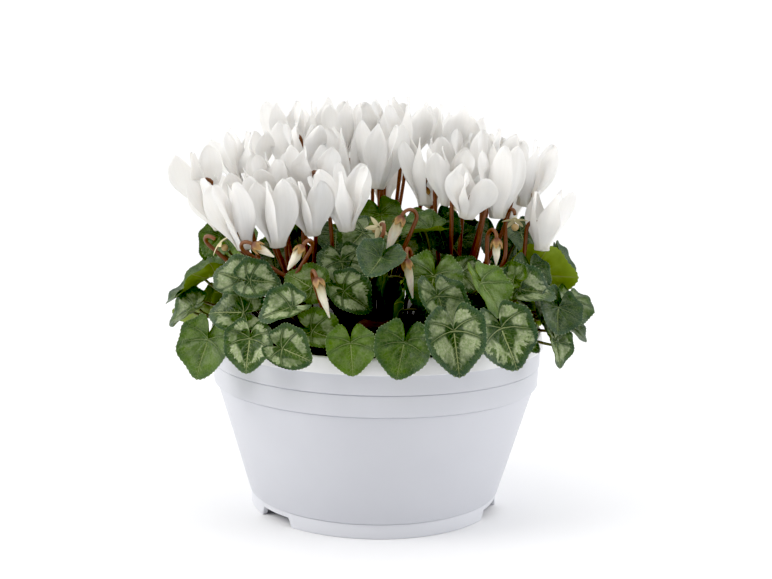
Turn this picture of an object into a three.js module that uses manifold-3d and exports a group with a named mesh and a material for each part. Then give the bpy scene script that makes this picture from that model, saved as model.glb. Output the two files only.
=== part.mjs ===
// A potted cyclamen: three white-flowered plants in one round white plastic bowl.
// Millimetres, +Z up. The origin is the middle of the bowl's foot, on the ground; -Y is the front.

import * as THREE from "three";
import { mergeVertices } from "three/addons/utils/BufferGeometryUtils.js";
import Module from "manifold-3d";

const wasm = await Module();
wasm.setup();

// Bowl
const RIM_RADIUS = 135;
const BOWL_HEIGHT = 146;
const LIP_HEIGHT = 12;
const BAND_RADIUS = 131;
const BAND_BOTTOM = 102;
const BAND_LINE = 119;
const WALL_TOP_RADIUS = 128.2;
const FOOT_RADIUS = 100;
const STEP_HEIGHT = 12.3;
const WALL = 2.2;
const FOOT_WALL = 4;
const BASE_UNDERSIDE = 8;
const BASE_TOP = 10.5;
const ROUND_SIDES = 36;
const NOTCH_ANGLES = [-50, 70, 190]; // from the front towards +X
const NOTCH_WIDTH = 40;
const NOTCH_TOP_WIDTH = 31;
const NOTCH_HEIGHT = 7.3;
const DRAIN_HOLES = 6;
const DRAIN_RADIUS = 3.5;
const DRAIN_CIRCLE = 78;
const DRAIN_SIDES = 6;

// Soil, and the gap that neighbouring pieces keep
const SOIL_EDGE = 131;
const SOIL_TOP = 135.5;
const SOIL_FLAT = 100; // the radius within which it is level
const GAP = 0.35;

// Plants: where each corm sits
const CORM_RADIUS = 22;
const CORM_MIDDLE = 131;
const CORM_SIDES = 10;
const CORM_DEPTH = 12; // below its widest part
const CORM_RISE = 10; // above it
const PLANTS = [
  { name: "left", x: -52, y: -28, outward: 220 },
  { name: "right", x: 58, y: -22, outward: -40 },
  { name: "back", x: 2, y: 56, outward: 90 },
];
const SPRAYS_EACH = 5;
const SPRAY_SPREAD = 45; // degrees between the sprays of one plant
const SPRAY_CIRCLE = 33;
const ROOT_RADIUS = 4.5;
const ROOT_BOTTOM = 120;
const ROOT_TOP = 138;
const ROOT_SIDES = 6;
const FOOT_CIRCLE = 2.8; // the circle in a root's top on which its petioles stand
const FOOT_FAN = 2.2; // how much wider they are spread there than their leaves are

// Flower parts
const LEAN_ASIDE = 0.0011; // how far a bloom leans out for each millimetre from the middle, to the side
const LEAN_BACK = 0.0022; // and to the front or back
const TUBE_LENGTH = 11;
const MOUTH_RADIUS = 5.8;
const TUBE_TOP_RADIUS = 3.6;
const TUBE_SIDES = 6;
const HOOK_RADIUS = 6.5;
const STEM_RADIUS = 1.5;
const PETIOLE_RADIUS = 1.4;
const PETAL_ANGLES = [56, 118, 180, 242, 304]; // round the tube from the stem, which has the widest gap
const PETAL_ROWS = [0, 0.36, 0.84];
const PETAL_THICKNESS = 1.4;
const CALYX_LENGTH = 4;
const CALYX_RADIUS = 3.8;
const STALK_SIDES = 3;
const BLADE_THICKNESS = 1.8;
const BLADE_RIM = [0, 25, 50, 75, 102, 130, 156, 180, 204, 230, 258, 285, 310, 335]; // degrees from the tip
const MIDRIB = [0.12, 0.55]; // two points of the midrib, as shares of the blade's length

const COLOURS = {
  bowl: { color: 0xd9dadf, roughness: 0.45, metalness: 0 },
  soil: { color: 0x16110d, roughness: 1, metalness: 0 },
  leaf: { color: 0x3f6b35, roughness: 0.6, metalness: 0 },
  stem: { color: 0x6b3222, roughness: 0.6, metalness: 0 },
  petal: { color: 0xf4f2ec, roughness: 0.55, metalness: 0 },
};

// Blooms: the nose's x, y, z, how far the petals open, and their length.
const BLOOMS = [
  [-24, -62, 229, 8, 50],
  [-48, -64, 228, 4, 44],
  [-70, -67, 221, 3, 52],
  [-90, -76, 219, 4, 52],
  [-94, -54, 231, 4, 36],
  [-113, -44, 222, 4, 42],
  [-132, -18, 238, 7, 46],
  [126, -40, 214, 6, 46],
  [91, -38, 238, 4, 56],
  [68, -48, 241, 6, 38],
  [54, -26, 246, 5, 44],
  [37, 2, 243, 6, 54],
  [-2, 8, 255, 5, 52],
  [-24, 22, 257, 6, 48],
  [-54, -24, 249, 6, 42],
  [-84, -22, 243, 5, 40],
  [-104, 2, 252, 7, 50],
  [-66, 14, 257, 6, 50],
  [-114, 30, 256, 6, 40],
  [84, -8, 248, 5, 56],
  [94, 16, 250, 5, 50],
  [109, -4, 248, 4, 52],
  [97, 40, 256, 5, 42],
  [74, 26, 260, 5, 46],
  [50, 48, 273, 6, 50],
  [18, 38, 276, 5, 46],
  [-32, 52, 276, 5, 46],
  [-78, 54, 274, 6, 48],
  [-56, 80, 276, 5, 48],
  [-18, 84, 274, 6, 50],
  [4, 68, 280, 5, 46],
  [28, 84, 281, 5, 44],
  [66, 78, 268, 6, 46],
  [108, 48, 238, 6, 46],
  [94, 92, 234, 7, 46],
  [46, 118, 230, 6, 48],
  [4, 124, 236, 7, 48],
  [-40, 118, 230, 6, 48],
  [-88, 92, 236, 8, 46],
];

// Buds and spent flowers: the tip's x, y, z, the way and the angle the top leans, length and thickness.
const BUDS = [
  [6, -66, 214, 0, 22, 26, 4.4],
  [-4, -56, 228, -60, 60, 9, 3.4],
  [89, -66, 205, 90, 10, 17, 3],
  [26, -92, 183, 170, 10, 26, 3],
  [-76, -92, 212, 180, 60, 15, 3],
  [-66, -96, 203, 30, 35, 18, 3.6],
  [-34, -118, 172, 140, 25, 27, 3.2],
  [-112, -66, 212, 180, 50, 10, 3],
  [104, -52, 228, 90, 30, 12, 3.2],
  [60, 118, 216, 40, 30, 20, 3.4],
  [-70, 112, 214, 150, 30, 20, 3.4],
];

// Leaves seen from the front: the middle's x, y, z, the way the face looks, its slope,
// the tip's turn from straight downhill, the length from joint to tip, and the fold along the midrib.
const FRONT_LEAVES = [
  [-91, -127, 147, -100, 62, -8, 28, 8],
  [18, -137, 152, -92, 62, -10, 31, 8],
  [94, -119, 155, -78, 64, 12, 36, 10],
  [56, -131, 158, -90, 68, 8, 37, 28],
  [-60, -139, 150, -90, 55, 75, 25, 10],
  [-25, -139, 144, -88, 52, 0, 27, 8],
  [-119, -90, 140, -115, 62, 0, 34, 10],
  [-40, -114, 158, -90, 38, 75, 27, 16],
  [-106, -102, 174, -95, 50, -90, 30, 10],
  [-87, -97, 195, -90, 55, 90, 25, 10],
  [-108, -86, 200, -100, 50, -110, 26, 10],
  [-50, -98, 199, -85, 55, -135, 25, 12],
  [-68, -120, 178, -90, 32, -70, 27, 18],
  [40, -80, 189, -90, 62, -8, 35, 22],
  [-34, -64, 206, -80, 58, 20, 30, 10],
  [-19, -94, 184, -70, 50, 50, 28, 14],
  [-9, -60, 194, -60, 62, 0, 25, 10],
  [-137, -46, 186, 190, 22, 0, 33, 16],
  [-160, -26, 171, 186, 24, 10, 25, 10],
  [-146, -58, 164, -138, 38, -45, 27, 12],
  [-128, -24, 203, -115, 52, 10, 20, 14],
  [-104, -44, 206, -90, 26, -40, 23, 12],
  [115, -68, 187, -85, 38, 85, 32, 16],
  [132, -28, 195, 80, 62, 270, 38, 10],
  [150, -18, 188, -20, 50, 0, 28, 10],
  [166, -14, 164, 0, 14, 0, 20, 8],
  [134, -62, 163, -60, 50, 0, 27, 12],
  [152, -44, 155, -30, 32, 0, 22, 10],
  [136, -74, 143, -40, 60, 0, 23, 16],
  [97, -63, 194, -100, 50, -120, 20, 22],
  [72, -26, 210, -90, 62, 20, 26, 20],
  [67, -54, 192, -80, 40, 40, 22, 12],
  [36, -24, 221, -90, 24, -60, 29, 12],
  [6, -74, 190, -168, 80, 10, 32, 24],
  [18, -99, 172, -172, 78, -10, 31, 24],
  [124, -50, 160, -60, 52, -15, 28, 12],
  [2, 8, 230, -90, 44, 20, 26, 10],
  [108, -16, 214, -70, 48, 0, 26, 12],
  [20, -50, 205, -90, 50, 30, 28, 14],
  [93, 8, 214, -75, 50, -10, 27, 12],
  [52, -4, 222, -90, 40, 10, 28, 12],
  [118, -42, 204, -60, 45, -20, 26, 12],
  [-16, -32, 218, -95, 40, -30, 28, 12],
  [24, 8, 226, -80, 40, 0, 28, 12],
  [-42, -4, 222, -100, 35, 20, 28, 12],
  [66, 26, 208, -85, 45, 10, 27, 12],
  [112, 14, 206, -65, 50, -15, 27, 12],
  [134, -24, 168, -45, 48, 10, 26, 12],
  [77, -56, 172, -80, 50, 15, 27, 12],
  [-82, -6, 204, -100, 42, 15, 27, 12],
  [-112, 8, 204, -120, 42, 0, 26, 12],
  [42, 40, 214, -85, 40, -10, 27, 12],
];

// Rings of leaves that fill the rest of the skirt: how many, radius, height, slope and length.
const LEAF_RINGS = [
  [20, 141, 156, 46, 32],
  [19, 122, 178, 42, 33],
  [17, 94, 200, 32, 33],
  [10, 58, 214, 24, 30],
];
const RING_ROOM = 24; // a ring's leaf is left out where a front leaf's middle is nearer than this

// Moves tried on a piece that would cross another one
const TRIES = 240;
const LEAF_REACH = 30;
const BLOOM_REACH = 20;

const radians = THREE.MathUtils.degToRad;

function vector(x, y, z) {
  return new THREE.Vector3(x, y, z);
}

// A sum of vectors, each with its factor: blend(a, 2, b, -1) is 2a - b.
function blend(...terms) {
  const sum = vector(0, 0, 0);
  for (let i = 0; i < terms.length; i += 2) {
    sum.addScaledVector(terms[i], terms[i + 1]);
  }
  return sum;
}

// Repeatable draws between two numbers.
function draws(seed) {
  const modulus = 2147483647;
  let state = (seed * 7919 + 104729) % modulus;
  const next = () => {
    state = (state * 16807) % modulus;
    return state / modulus;
  };
  for (let i = 0; i < 4; i += 1) {
    next();
  }
  return (low, high) => low + (high - low) * next();
}

// A closed geometry as a solid that can be joined and cut.
function solidOf(geometry) {
  const bare = geometry.clone();
  bare.deleteAttribute("normal");
  bare.deleteAttribute("uv");
  const merged = mergeVertices(bare, 1e-4);
  const mesh = new wasm.Mesh({
    numProp: 3,
    vertProperties: merged.attributes.position.array,
    triVerts: new Uint32Array(merged.index.array),
  });
  return new wasm.Manifold(mesh);
}

// A solid from its corners and its triangles of corner numbers.
function solidFrom(points, triangles) {
  const geometry = new THREE.BufferGeometry();
  geometry.setAttribute("position", new THREE.Float32BufferAttribute(points.flatMap((p) => p.toArray()), 3));
  geometry.setIndex(triangles.flat());
  return solidOf(geometry);
}

function geometryOf(solid) {
  const mesh = solid.getMesh();
  const geometry = new THREE.BufferGeometry();
  geometry.setAttribute("position", new THREE.BufferAttribute(mesh.vertProperties, 3));
  geometry.setIndex(new THREE.BufferAttribute(mesh.triVerts, 1));
  geometry.computeVertexNormals();
  return geometry;
}

function joined(solids) {
  return solids.reduce((whole, solid) => whole.add(solid));
}

// A profile of [radius, height] points turned round Z.
function turned(profile, sides) {
  const lathe = new THREE.LatheGeometry(profile.map(([r, z]) => new THREE.Vector2(r, z)), sides);
  return lathe.rotateX(Math.PI / 2);
}

// An upright peg, or the hole for one.
function peg(radius, bottom, top, sides) {
  return turned([[0, bottom], [radius, bottom], [radius, top], [0, top]], sides);
}

// A turned profile stood on a point with its axis along a direction.
function turnedAlong(profile, sides, foot, axis) {
  const turn = new THREE.Quaternion().setFromUnitVectors(vector(0, 0, 1), axis);
  return turned(profile, sides).applyQuaternion(turn).translate(foot.x, foot.y, foot.z);
}

// Rings of corners round the points of a stalk, each turned as little as can be from the one before.
function ringsAlong(points, radii, start) {
  let aside = start;
  return points.map((point, i) => {
    const before = points[Math.max(i - 1, 0)];
    const after = points[Math.min(i + 1, points.length - 1)];
    const along = after.clone().sub(before).normalize();
    aside = blend(aside, 1, along, -aside.dot(along)).normalize();
    return ringRound(point, radii[i], aside, along.clone().cross(aside));
  });
}

function ringRound(middle, radius, aside, other) {
  const corners = [];
  for (let i = 0; i < STALK_SIDES; i += 1) {
    const angle = (2 * Math.PI * i) / STALK_SIDES;
    corners.push(blend(middle, 1, aside, radius * Math.cos(angle), other, radius * Math.sin(angle)));
  }
  return corners;
}

// The triangles between rings that follow each other, from the given corner number on.
function sleeve(rings, first) {
  const triangles = [];
  for (let ring = 0; ring < rings - 1; ring += 1) {
    for (let i = 0; i < STALK_SIDES; i += 1) {
      const here = first + ring * STALK_SIDES + i;
      const beside = first + ring * STALK_SIDES + ((i + 1) % STALK_SIDES);
      triangles.push([here, beside, beside + STALK_SIDES], [here, beside + STALK_SIDES, here + STALK_SIDES]);
    }
  }
  const last = first + (rings - 1) * STALK_SIDES;
  return { triangles, start: [first, first + 2, first + 1], end: [last, last + 1, last + 2] };
}

// A stalk through the points, with a radius for each.
function stalk(points, radii, start) {
  const rings = ringsAlong(points, radii, start);
  const { triangles, start: foot, end } = sleeve(rings.length, 0);
  return solidFrom(rings.flat(), [...triangles, foot, end]);
}

// Evenly spaced points of a cubic curve.
function cubic(a, b, c, d, steps) {
  return new THREE.CubicBezierCurve3(a, b, c, d).getPoints(steps);
}

// The bowl: foot ring, stepped wall, band, and a lip that overhangs the band.
function makeBowl() {
  const foot = FOOT_RADIUS;
  const lip = BOWL_HEIGHT - LIP_HEIGHT;
  const profile = [
    [0, BASE_UNDERSIDE],
    [foot - FOOT_WALL - 1, BASE_UNDERSIDE],
    [foot - FOOT_WALL, 0],
    [foot, 0],
    [foot + 0.6, STEP_HEIGHT],
    [foot + 1.6, STEP_HEIGHT],
    [WALL_TOP_RADIUS, BAND_BOTTOM],
    [BAND_RADIUS, BAND_BOTTOM + 1],
    [BAND_RADIUS + 0.4, BAND_LINE],
    [BAND_RADIUS + 1.2, BAND_LINE],
    [BAND_RADIUS + 1.6, lip],
    [RIM_RADIUS - 0.4, lip],
    [RIM_RADIUS, BOWL_HEIGHT - 1.5],
    [RIM_RADIUS - 1.5, BOWL_HEIGHT],
    [BAND_RADIUS - 1, BOWL_HEIGHT],
    [BAND_RADIUS - WALL, BAND_BOTTOM + WALL],
    [WALL_TOP_RADIUS - WALL, BAND_BOTTOM],
    [foot + 1.6 - WALL, BASE_TOP],
    [0, BASE_TOP],
  ];
  let bowl = solidOf(turned(profile, ROUND_SIDES));
  for (const angle of NOTCH_ANGLES) {
    bowl = bowl.subtract(solidOf(notchCutter(angle)));
  }
  for (let i = 0; i < DRAIN_HOLES; i += 1) {
    const round = (2 * Math.PI * (i + 0.5)) / DRAIN_HOLES;
    const drill = peg(DRAIN_RADIUS, 0, 2 * BASE_TOP, DRAIN_SIDES);
    drill.translate(DRAIN_CIRCLE * Math.cos(round), DRAIN_CIRCLE * Math.sin(round), 0);
    bowl = bowl.subtract(solidOf(drill));
  }
  return bowl;
}

// A wedge that cuts one slant-sided notch in the foot ring, at an angle from the front.
function notchCutter(angle) {
  const outline = new THREE.Shape();
  outline.moveTo(-NOTCH_WIDTH / 2, -1);
  outline.lineTo(NOTCH_WIDTH / 2, -1);
  outline.lineTo(NOTCH_TOP_WIDTH / 2, NOTCH_HEIGHT);
  outline.lineTo(-NOTCH_TOP_WIDTH / 2, NOTCH_HEIGHT);
  const depth = 30;
  const wedge = new THREE.ExtrudeGeometry(outline, { depth, bevelEnabled: false });
  return wedge.translate(0, 0, FOOT_RADIUS - depth / 2).rotateX(Math.PI / 2).rotateZ(radians(angle));
}

// Where the sprays of leaves stand round each corm.
function sprayRoots() {
  const roots = [];
  for (const plant of PLANTS) {
    for (let i = 0; i < SPRAYS_EACH; i += 1) {
      const outward = plant.outward + SPRAY_SPREAD * (i - (SPRAYS_EACH - 1) / 2);
      const round = radians(outward);
      const x = plant.x + SPRAY_CIRCLE * Math.cos(round);
      const y = plant.y + SPRAY_CIRCLE * Math.sin(round);
      roots.push({ name: `leaf_spray_${plant.name}_${i + 1}`, x, y, outward, leaves: [] });
    }
  }
  return roots;
}

// Soil that fills the bowl, with a plain hole for each corm and for the root of each spray.
function makeSoil(roots) {
  const profile = [
    [0, BASE_TOP + GAP],
    [FOOT_RADIUS + 1.2 - WALL - GAP, BASE_TOP + GAP],
    [WALL_TOP_RADIUS - WALL - GAP - 0.2, BAND_BOTTOM],
    [BAND_RADIUS - WALL - GAP, BAND_BOTTOM + WALL + GAP],
    [BAND_RADIUS - WALL - GAP, SOIL_EDGE],
    [SOIL_FLAT, SOIL_TOP],
    [0, SOIL_TOP],
  ];
  let soil = solidOf(turned(profile, ROUND_SIDES));
  const cormBottom = CORM_MIDDLE - CORM_DEPTH - GAP;
  const holes = PLANTS.map(({ x, y }) => [x, y, CORM_RADIUS + GAP, cormBottom, CORM_SIDES]);
  holes.push(...roots.map(({ x, y }) => [x, y, ROOT_RADIUS + GAP, ROOT_BOTTOM - GAP, ROOT_SIDES]));
  for (const [x, y, radius, bottom, sides] of holes) {
    soil = soil.subtract(solidOf(peg(radius, bottom, BOWL_HEIGHT, sides).translate(x, y, 0)));
  }
  return soil;
}

// A corm: a flattened ball, half sunk in the soil.
function makeCorm({ x, y }) {
  const profile = [
    [0, -CORM_DEPTH],
    [0.7 * CORM_RADIUS, -0.75 * CORM_DEPTH],
    [CORM_RADIUS, 0],
    [0.7 * CORM_RADIUS, 0.7 * CORM_RISE],
    [0, CORM_RISE],
  ];
  return solidOf(turned(profile, CORM_SIDES).translate(x, y, CORM_MIDDLE));
}

// The k-th small move tried on a piece: each reaches a little further than the one before.
function nudge(k, most) {
  const between = draws(500 + k);
  const reach = (most * k) / TRIES;
  const shift = vector(between(-reach, reach), between(-reach, reach), between(-reach, reach));
  const [turn, slope, bow] = [0, 1, 2].map(() => between(-reach, reach));
  return { k, shift, turn, slope, bow };
}

// The flower stem's foot on the corm, on the side that the flower is on.
function stemFoot(plant, place, reach) {
  const side = vector(place.x - plant.x, place.y - plant.y, 0);
  const middle = vector(plant.x, plant.y, CORM_MIDDLE + CORM_RISE / 2);
  return middle.addScaledVector(side, reach / (side.length() + 20));
}

// A nodding flower's own directions: up its tube, towards its stem, and across both.
function nodding(nose, up, foot) {
  const inward = foot.clone().sub(nose);
  const stemward = blend(inward, 1, up, -inward.dot(up)).normalize();
  return { nose, up, stemward, across: up.clone().cross(stemward), foot };
}

// A flower stem's points: from its foot up past the flower's side, over in a hook, and down to the calyx.
function stemPoints({ nose, up, stemward, foot }, calyx, bow) {
  const aside = blend(nose, 1, stemward, 2 * HOOK_RADIUS, up, calyx - TUBE_LENGTH - 8);
  const rise = aside.distanceTo(foot);
  const lean = blend(foot, 1, vector(0, 0, 1), 0.45 * rise, stemward.clone().cross(up), bow);
  const route = cubic(foot, lean, blend(aside, 1, up, -0.35 * rise), aside, 2);
  const centre = blend(nose, 1, up, calyx + CALYX_LENGTH, stemward, HOOK_RADIUS);
  for (const angle of [0, 60, 120, 180]) {
    const round = radians(angle);
    const out = HOOK_RADIUS * Math.cos(round);
    route.push(blend(centre, 1, stemward, out, up, HOOK_RADIUS * Math.sin(round)));
  }
  return route;
}

// A hooked stem that flares into the calyx, and for a bud goes on into its spindle.
function hookedStem(flower, calyx, bow, grow, ends) {
  const route = stemPoints(flower, calyx, bow);
  const radii = route.map(() => STEM_RADIUS + grow);
  for (const [height, radius] of ends) {
    route.push(blend(flower.nose, 1, flower.up, height));
    radii.push(radius + grow);
  }
  return stalk(route, radii, flower.across);
}

// Half the width of a petal at a share of its length.
function petalWidth(share) {
  if (share < 0.6) {
    return 0.28 + 0.72 * Math.sin((Math.PI / 2) * (share / 0.6)) ** 2;
  }
  return Math.sqrt(Math.max(0, 1 - ((share - 0.6) / 0.4) ** 2));
}

// A point of a petal: along its length from the mouth, across from edge to edge, and off its face.
function petalPoint(flower, petal, along, across, off) {
  const round = radians(petal.angle);
  const out = blend(flower.stemward, Math.cos(round), flower.across, Math.sin(round));
  const aside = flower.up.clone().cross(out);
  const height = 1 + (petal.length - 1) * (0.85 * along + 0.15 * along ** 2);
  const flare = 5 * (1 - (1 - Math.min(1, along / 0.3)) ** 2);
  const radius = MOUTH_RADIUS - 0.9 + flare + petal.open * along ** 1.5;
  const twist = petal.twist * along;
  const half = petal.half * petalWidth(along) * across;
  const lift = off - petal.cup * across ** 2 * along;
  return blend(
    flower.nose, 1,
    flower.up, height,
    out, radius + half * Math.sin(twist) + lift * Math.cos(twist),
    aside, petal.lean * along ** 2 + half * Math.cos(twist) - lift * Math.sin(twist),
  );
}

// The corners of a petal, four to a row and one at the tip: thickest along the middle, thin at the edges.
function petalCorners(flower, petal, grow) {
  const thick = PETAL_THICKNESS / 2 + grow;
  const points = [];
  for (const along of PETAL_ROWS) {
    const edge = 1 + grow / (petal.half * petalWidth(along));
    points.push(petalPoint(flower, petal, along, -edge, 0));
    points.push(petalPoint(flower, petal, along, 0, thick));
    points.push(petalPoint(flower, petal, along, edge, 0));
    points.push(petalPoint(flower, petal, along, 0, -thick));
  }
  points.push(petalPoint(flower, petal, 1 + grow / petal.length, 0, 0));
  return points;
}

// The triangles of a petal that is open at its base, from the given corner number on.
function petalFaces(first) {
  const triangles = [];
  const tip = first + 4 * PETAL_ROWS.length;
  for (let row = 0; row < PETAL_ROWS.length; row += 1) {
    for (let side = 0; side < 4; side += 1) {
      const here = first + 4 * row + side;
      const beside = first + 4 * row + ((side + 1) % 4);
      if (row === PETAL_ROWS.length - 1) {
        triangles.push([here, beside, tip]);
      } else if (side < 2) {
        triangles.push([here, beside, here + 4], [beside, beside + 4, here + 4]);
      } else {
        triangles.push([here, beside, beside + 4], [here, beside + 4, here + 4]);
      }
    }
  }
  return triangles;
}

function makePetal(flower, petal, grow) {
  return solidFrom(petalCorners(flower, petal, grow), [[0, 2, 1], [0, 3, 2], ...petalFaces(0)]);
}

// A bloom in one piece: a short tube whose mouth rim folds out and up into the five petals.
function makeBloom({ flower, petals }) {
  const count = petals.length;
  const points = petals.flatMap((petal) => petalCorners(flower, petal, 0));
  const corners = points.length / count;
  const nose = points.length;
  const top = nose + 1;
  points.push(flower.nose);
  const triangles = [];
  petals.forEach((petal, i) => {
    const round = radians(petal.angle);
    points.push(blend(
      flower.nose, 1,
      flower.up, TUBE_LENGTH,
      flower.stemward, TUBE_TOP_RADIUS * Math.cos(round),
      flower.across, TUBE_TOP_RADIUS * Math.sin(round),
    ));
    const [left, outer, right, inner] = [0, 1, 2, 3].map((corner) => i * corners + corner);
    const next = ((i + 1) % count) * corners;
    const above = top + i;
    const aboveNext = top + ((i + 1) % count);
    triangles.push([nose, outer, left], [nose, right, outer], [nose, next, right]);
    triangles.push([left, inner, above], [inner, right, above], [right, next, above]);
    triangles.push([next, aboveNext, above], ...petalFaces(i * corners));
    if (i > 0 && i < count - 1) {
      triangles.push([top, above, aboveNext]);
    }
  });
  return solidFrom(points, triangles);
}

// Everything that a bloom's form is worked out from.
function bloomPlan(index, move) {
  const [x, y, z, open, length] = BLOOMS[index];
  const between = draws(index + BLOOMS.length * move.k);
  const nose = vector(x, y, z).add(move.shift);
  const up = vector(LEAN_ASIDE * x + between(-0.1, 0.1), LEAN_BACK * y + between(-0.1, 0.1), 1);
  up.x += 0.008 * move.turn;
  up.y += 0.008 * move.slope;
  up.normalize();
  const plant = nearest(PLANTS, nose);
  const flower = nodding(nose, up, stemFoot(plant, nose, between(8, 14)));
  const twist = (between(0, 1) < 0.8 ? 1 : -1) * between(34, 58);
  const lean = between(0, 4) * Math.sign(twist);
  const petals = PETAL_ANGLES.map((angle) => ({
    angle: angle + between(-3, 3),
    length: length * between(0.93, 1.03),
    half: 9.3 + between(-0.8, 0.8),
    open: open * between(0.75, 1.15),
    twist: radians(twist + between(-7, 7)),
    cup: between(-0.5, 2),
    lean: lean + between(-1, 1),
  }));
  return { plant, flower, petals, bow: move.bow };
}

function nearest(places, point) {
  const distance = (place) => Math.hypot(place.x - point.x, place.y - point.y);
  return places.reduce((best, place) => (distance(place) < distance(best) ? place : best));
}

// A bloom's tube and petals as solids of their own. Grown, they keep the gap to their neighbours.
function bloomParts({ flower, petals }, grow) {
  const profile = [
    [0, 0],
    [MOUTH_RADIUS + grow, 0],
    [TUBE_TOP_RADIUS + grow, TUBE_LENGTH],
    [0, TUBE_LENGTH],
  ];
  const tube = solidOf(turnedAlong(profile, TUBE_SIDES, flower.nose, flower.up));
  return [tube, ...petals.map((petal) => makePetal(flower, petal, grow))];
}

// A bloom's stem, which ends in the calyx just above the tube.
function bloomStem({ flower, bow }, grow) {
  const mouth = TUBE_LENGTH + GAP;
  return hookedStem(flower, mouth, bow, grow, [[mouth, CALYX_RADIUS]]);
}

// A bud or a spent flower on its own hooked stem.
function budPlan(index, move) {
  const [x, y, z, way, angle, length, thick] = BUDS[index];
  const tilt = radians(angle + move.slope);
  const round = radians(way + 2 * move.turn);
  const up = vector(Math.sin(tilt) * Math.cos(round), Math.sin(tilt) * Math.sin(round), Math.cos(tilt));
  const nose = vector(x, y, z).add(move.shift);
  const plant = nearest(PLANTS, nose);
  return { plant, flower: nodding(nose, up, stemFoot(plant, nose, 15)), length, thick, bow: move.bow };
}

function budStem({ flower, length, thick, bow }, grow) {
  const spindle = [
    [length, 0.8 * CALYX_RADIUS],
    [0.7 * length, thick],
    [0.35 * length, 0.7 * thick],
    [0, 0.4],
  ];
  return hookedStem(flower, length, bow, grow, spindle);
}

// How far a heart-shaped blade reaches from its joint, as a share of its length, at an angle from the tip.
function heart(angle) {
  const phi = radians(angle);
  const fromSinus = 180 - Math.abs(angle > 180 ? 360 - angle : angle);
  const tip = 0.09 * Math.exp(-((180 - fromSinus) ** 2) / 22 ** 2);
  const sinus = 0.48 * Math.exp(-(fromSinus ** 2) / 14 ** 2);
  const round = 0.68 + 0.12 * Math.cos(phi);
  return (round + tip - sinus) * (1 + 0.02 * Math.cos(7 * phi));
}

// A leaf's own directions and its joint: the face looks along normal, the tip lies along the blade.
function leafPlan(leaf, move) {
  const face = radians(leaf.face);
  const slope = radians(leaf.slope + move.slope);
  const turn = radians(leaf.turn + 1.5 * move.turn);
  const level = vector(Math.cos(face), Math.sin(face), 0);
  const normal = blend(level, Math.sin(slope), vector(0, 0, 1), Math.cos(slope));
  const downhill = blend(level, Math.cos(slope), vector(0, 0, 1), -Math.sin(slope));
  const along = blend(downhill, Math.cos(turn), normal.clone().cross(downhill), Math.sin(turn));
  const middle = vector(leaf.x, leaf.y, leaf.z).add(move.shift);
  const joint = blend(middle, 1, along, -0.25 * leaf.size);
  return { ...leaf, normal, along, across: along.clone().cross(normal), joint, bow: move.bow };
}

// A point of the blade, across and along in millimetres from the joint. The sides fold up along the
// midrib, the tip curls down, and the rim waves.
function bladePoint(plan, across, along, off, rim) {
  const fold = radians(plan.fold);
  const curl = (0.14 * Math.max(along, 0) ** 2 + 0.2 * Math.min(along, 0) ** 2) / plan.size;
  const wave = 0.035 * plan.size * Math.cos(7 * Math.atan2(across, along)) * rim;
  const lift = Math.abs(across) * Math.sin(fold) - curl + wave + off;
  return blend(plan.joint, 1, plan.across, across * Math.cos(fold), plan.along, along, plan.normal, lift);
}

// The petiole's points, from the underside of the blade down into the spray's root.
function petiolePoints(plan, root) {
  const top = bladePoint(plan, 0, MIDRIB[0] * plan.size, -BLADE_THICKNESS / 2, 0);
  const toward = vector(top.x - root.x, top.y - root.y, 0).normalize();
  const outward = vector(Math.cos(radians(root.outward)), Math.sin(radians(root.outward)), 0);
  const sideways = vector(-toward.y, toward.x, 0);
  const fan = FOOT_FAN * Math.atan2(outward.clone().cross(toward).z, outward.dot(toward));
  const foot = outward.applyAxisAngle(vector(0, 0, 1), fan).multiplyScalar(FOOT_CIRCLE);
  foot.add(vector(root.x, root.y, ROOT_TOP - 2));
  const span = top.distanceTo(foot);
  const rising = blend(foot, 1, vector(0, 0, 1), 0.4 * span, sideways, plan.bow);
  const under = blend(top, 1, plan.normal, -0.3 * span, plan.along, -0.12 * span);
  return cubic(top, under, rising, foot, 3);
}

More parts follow.
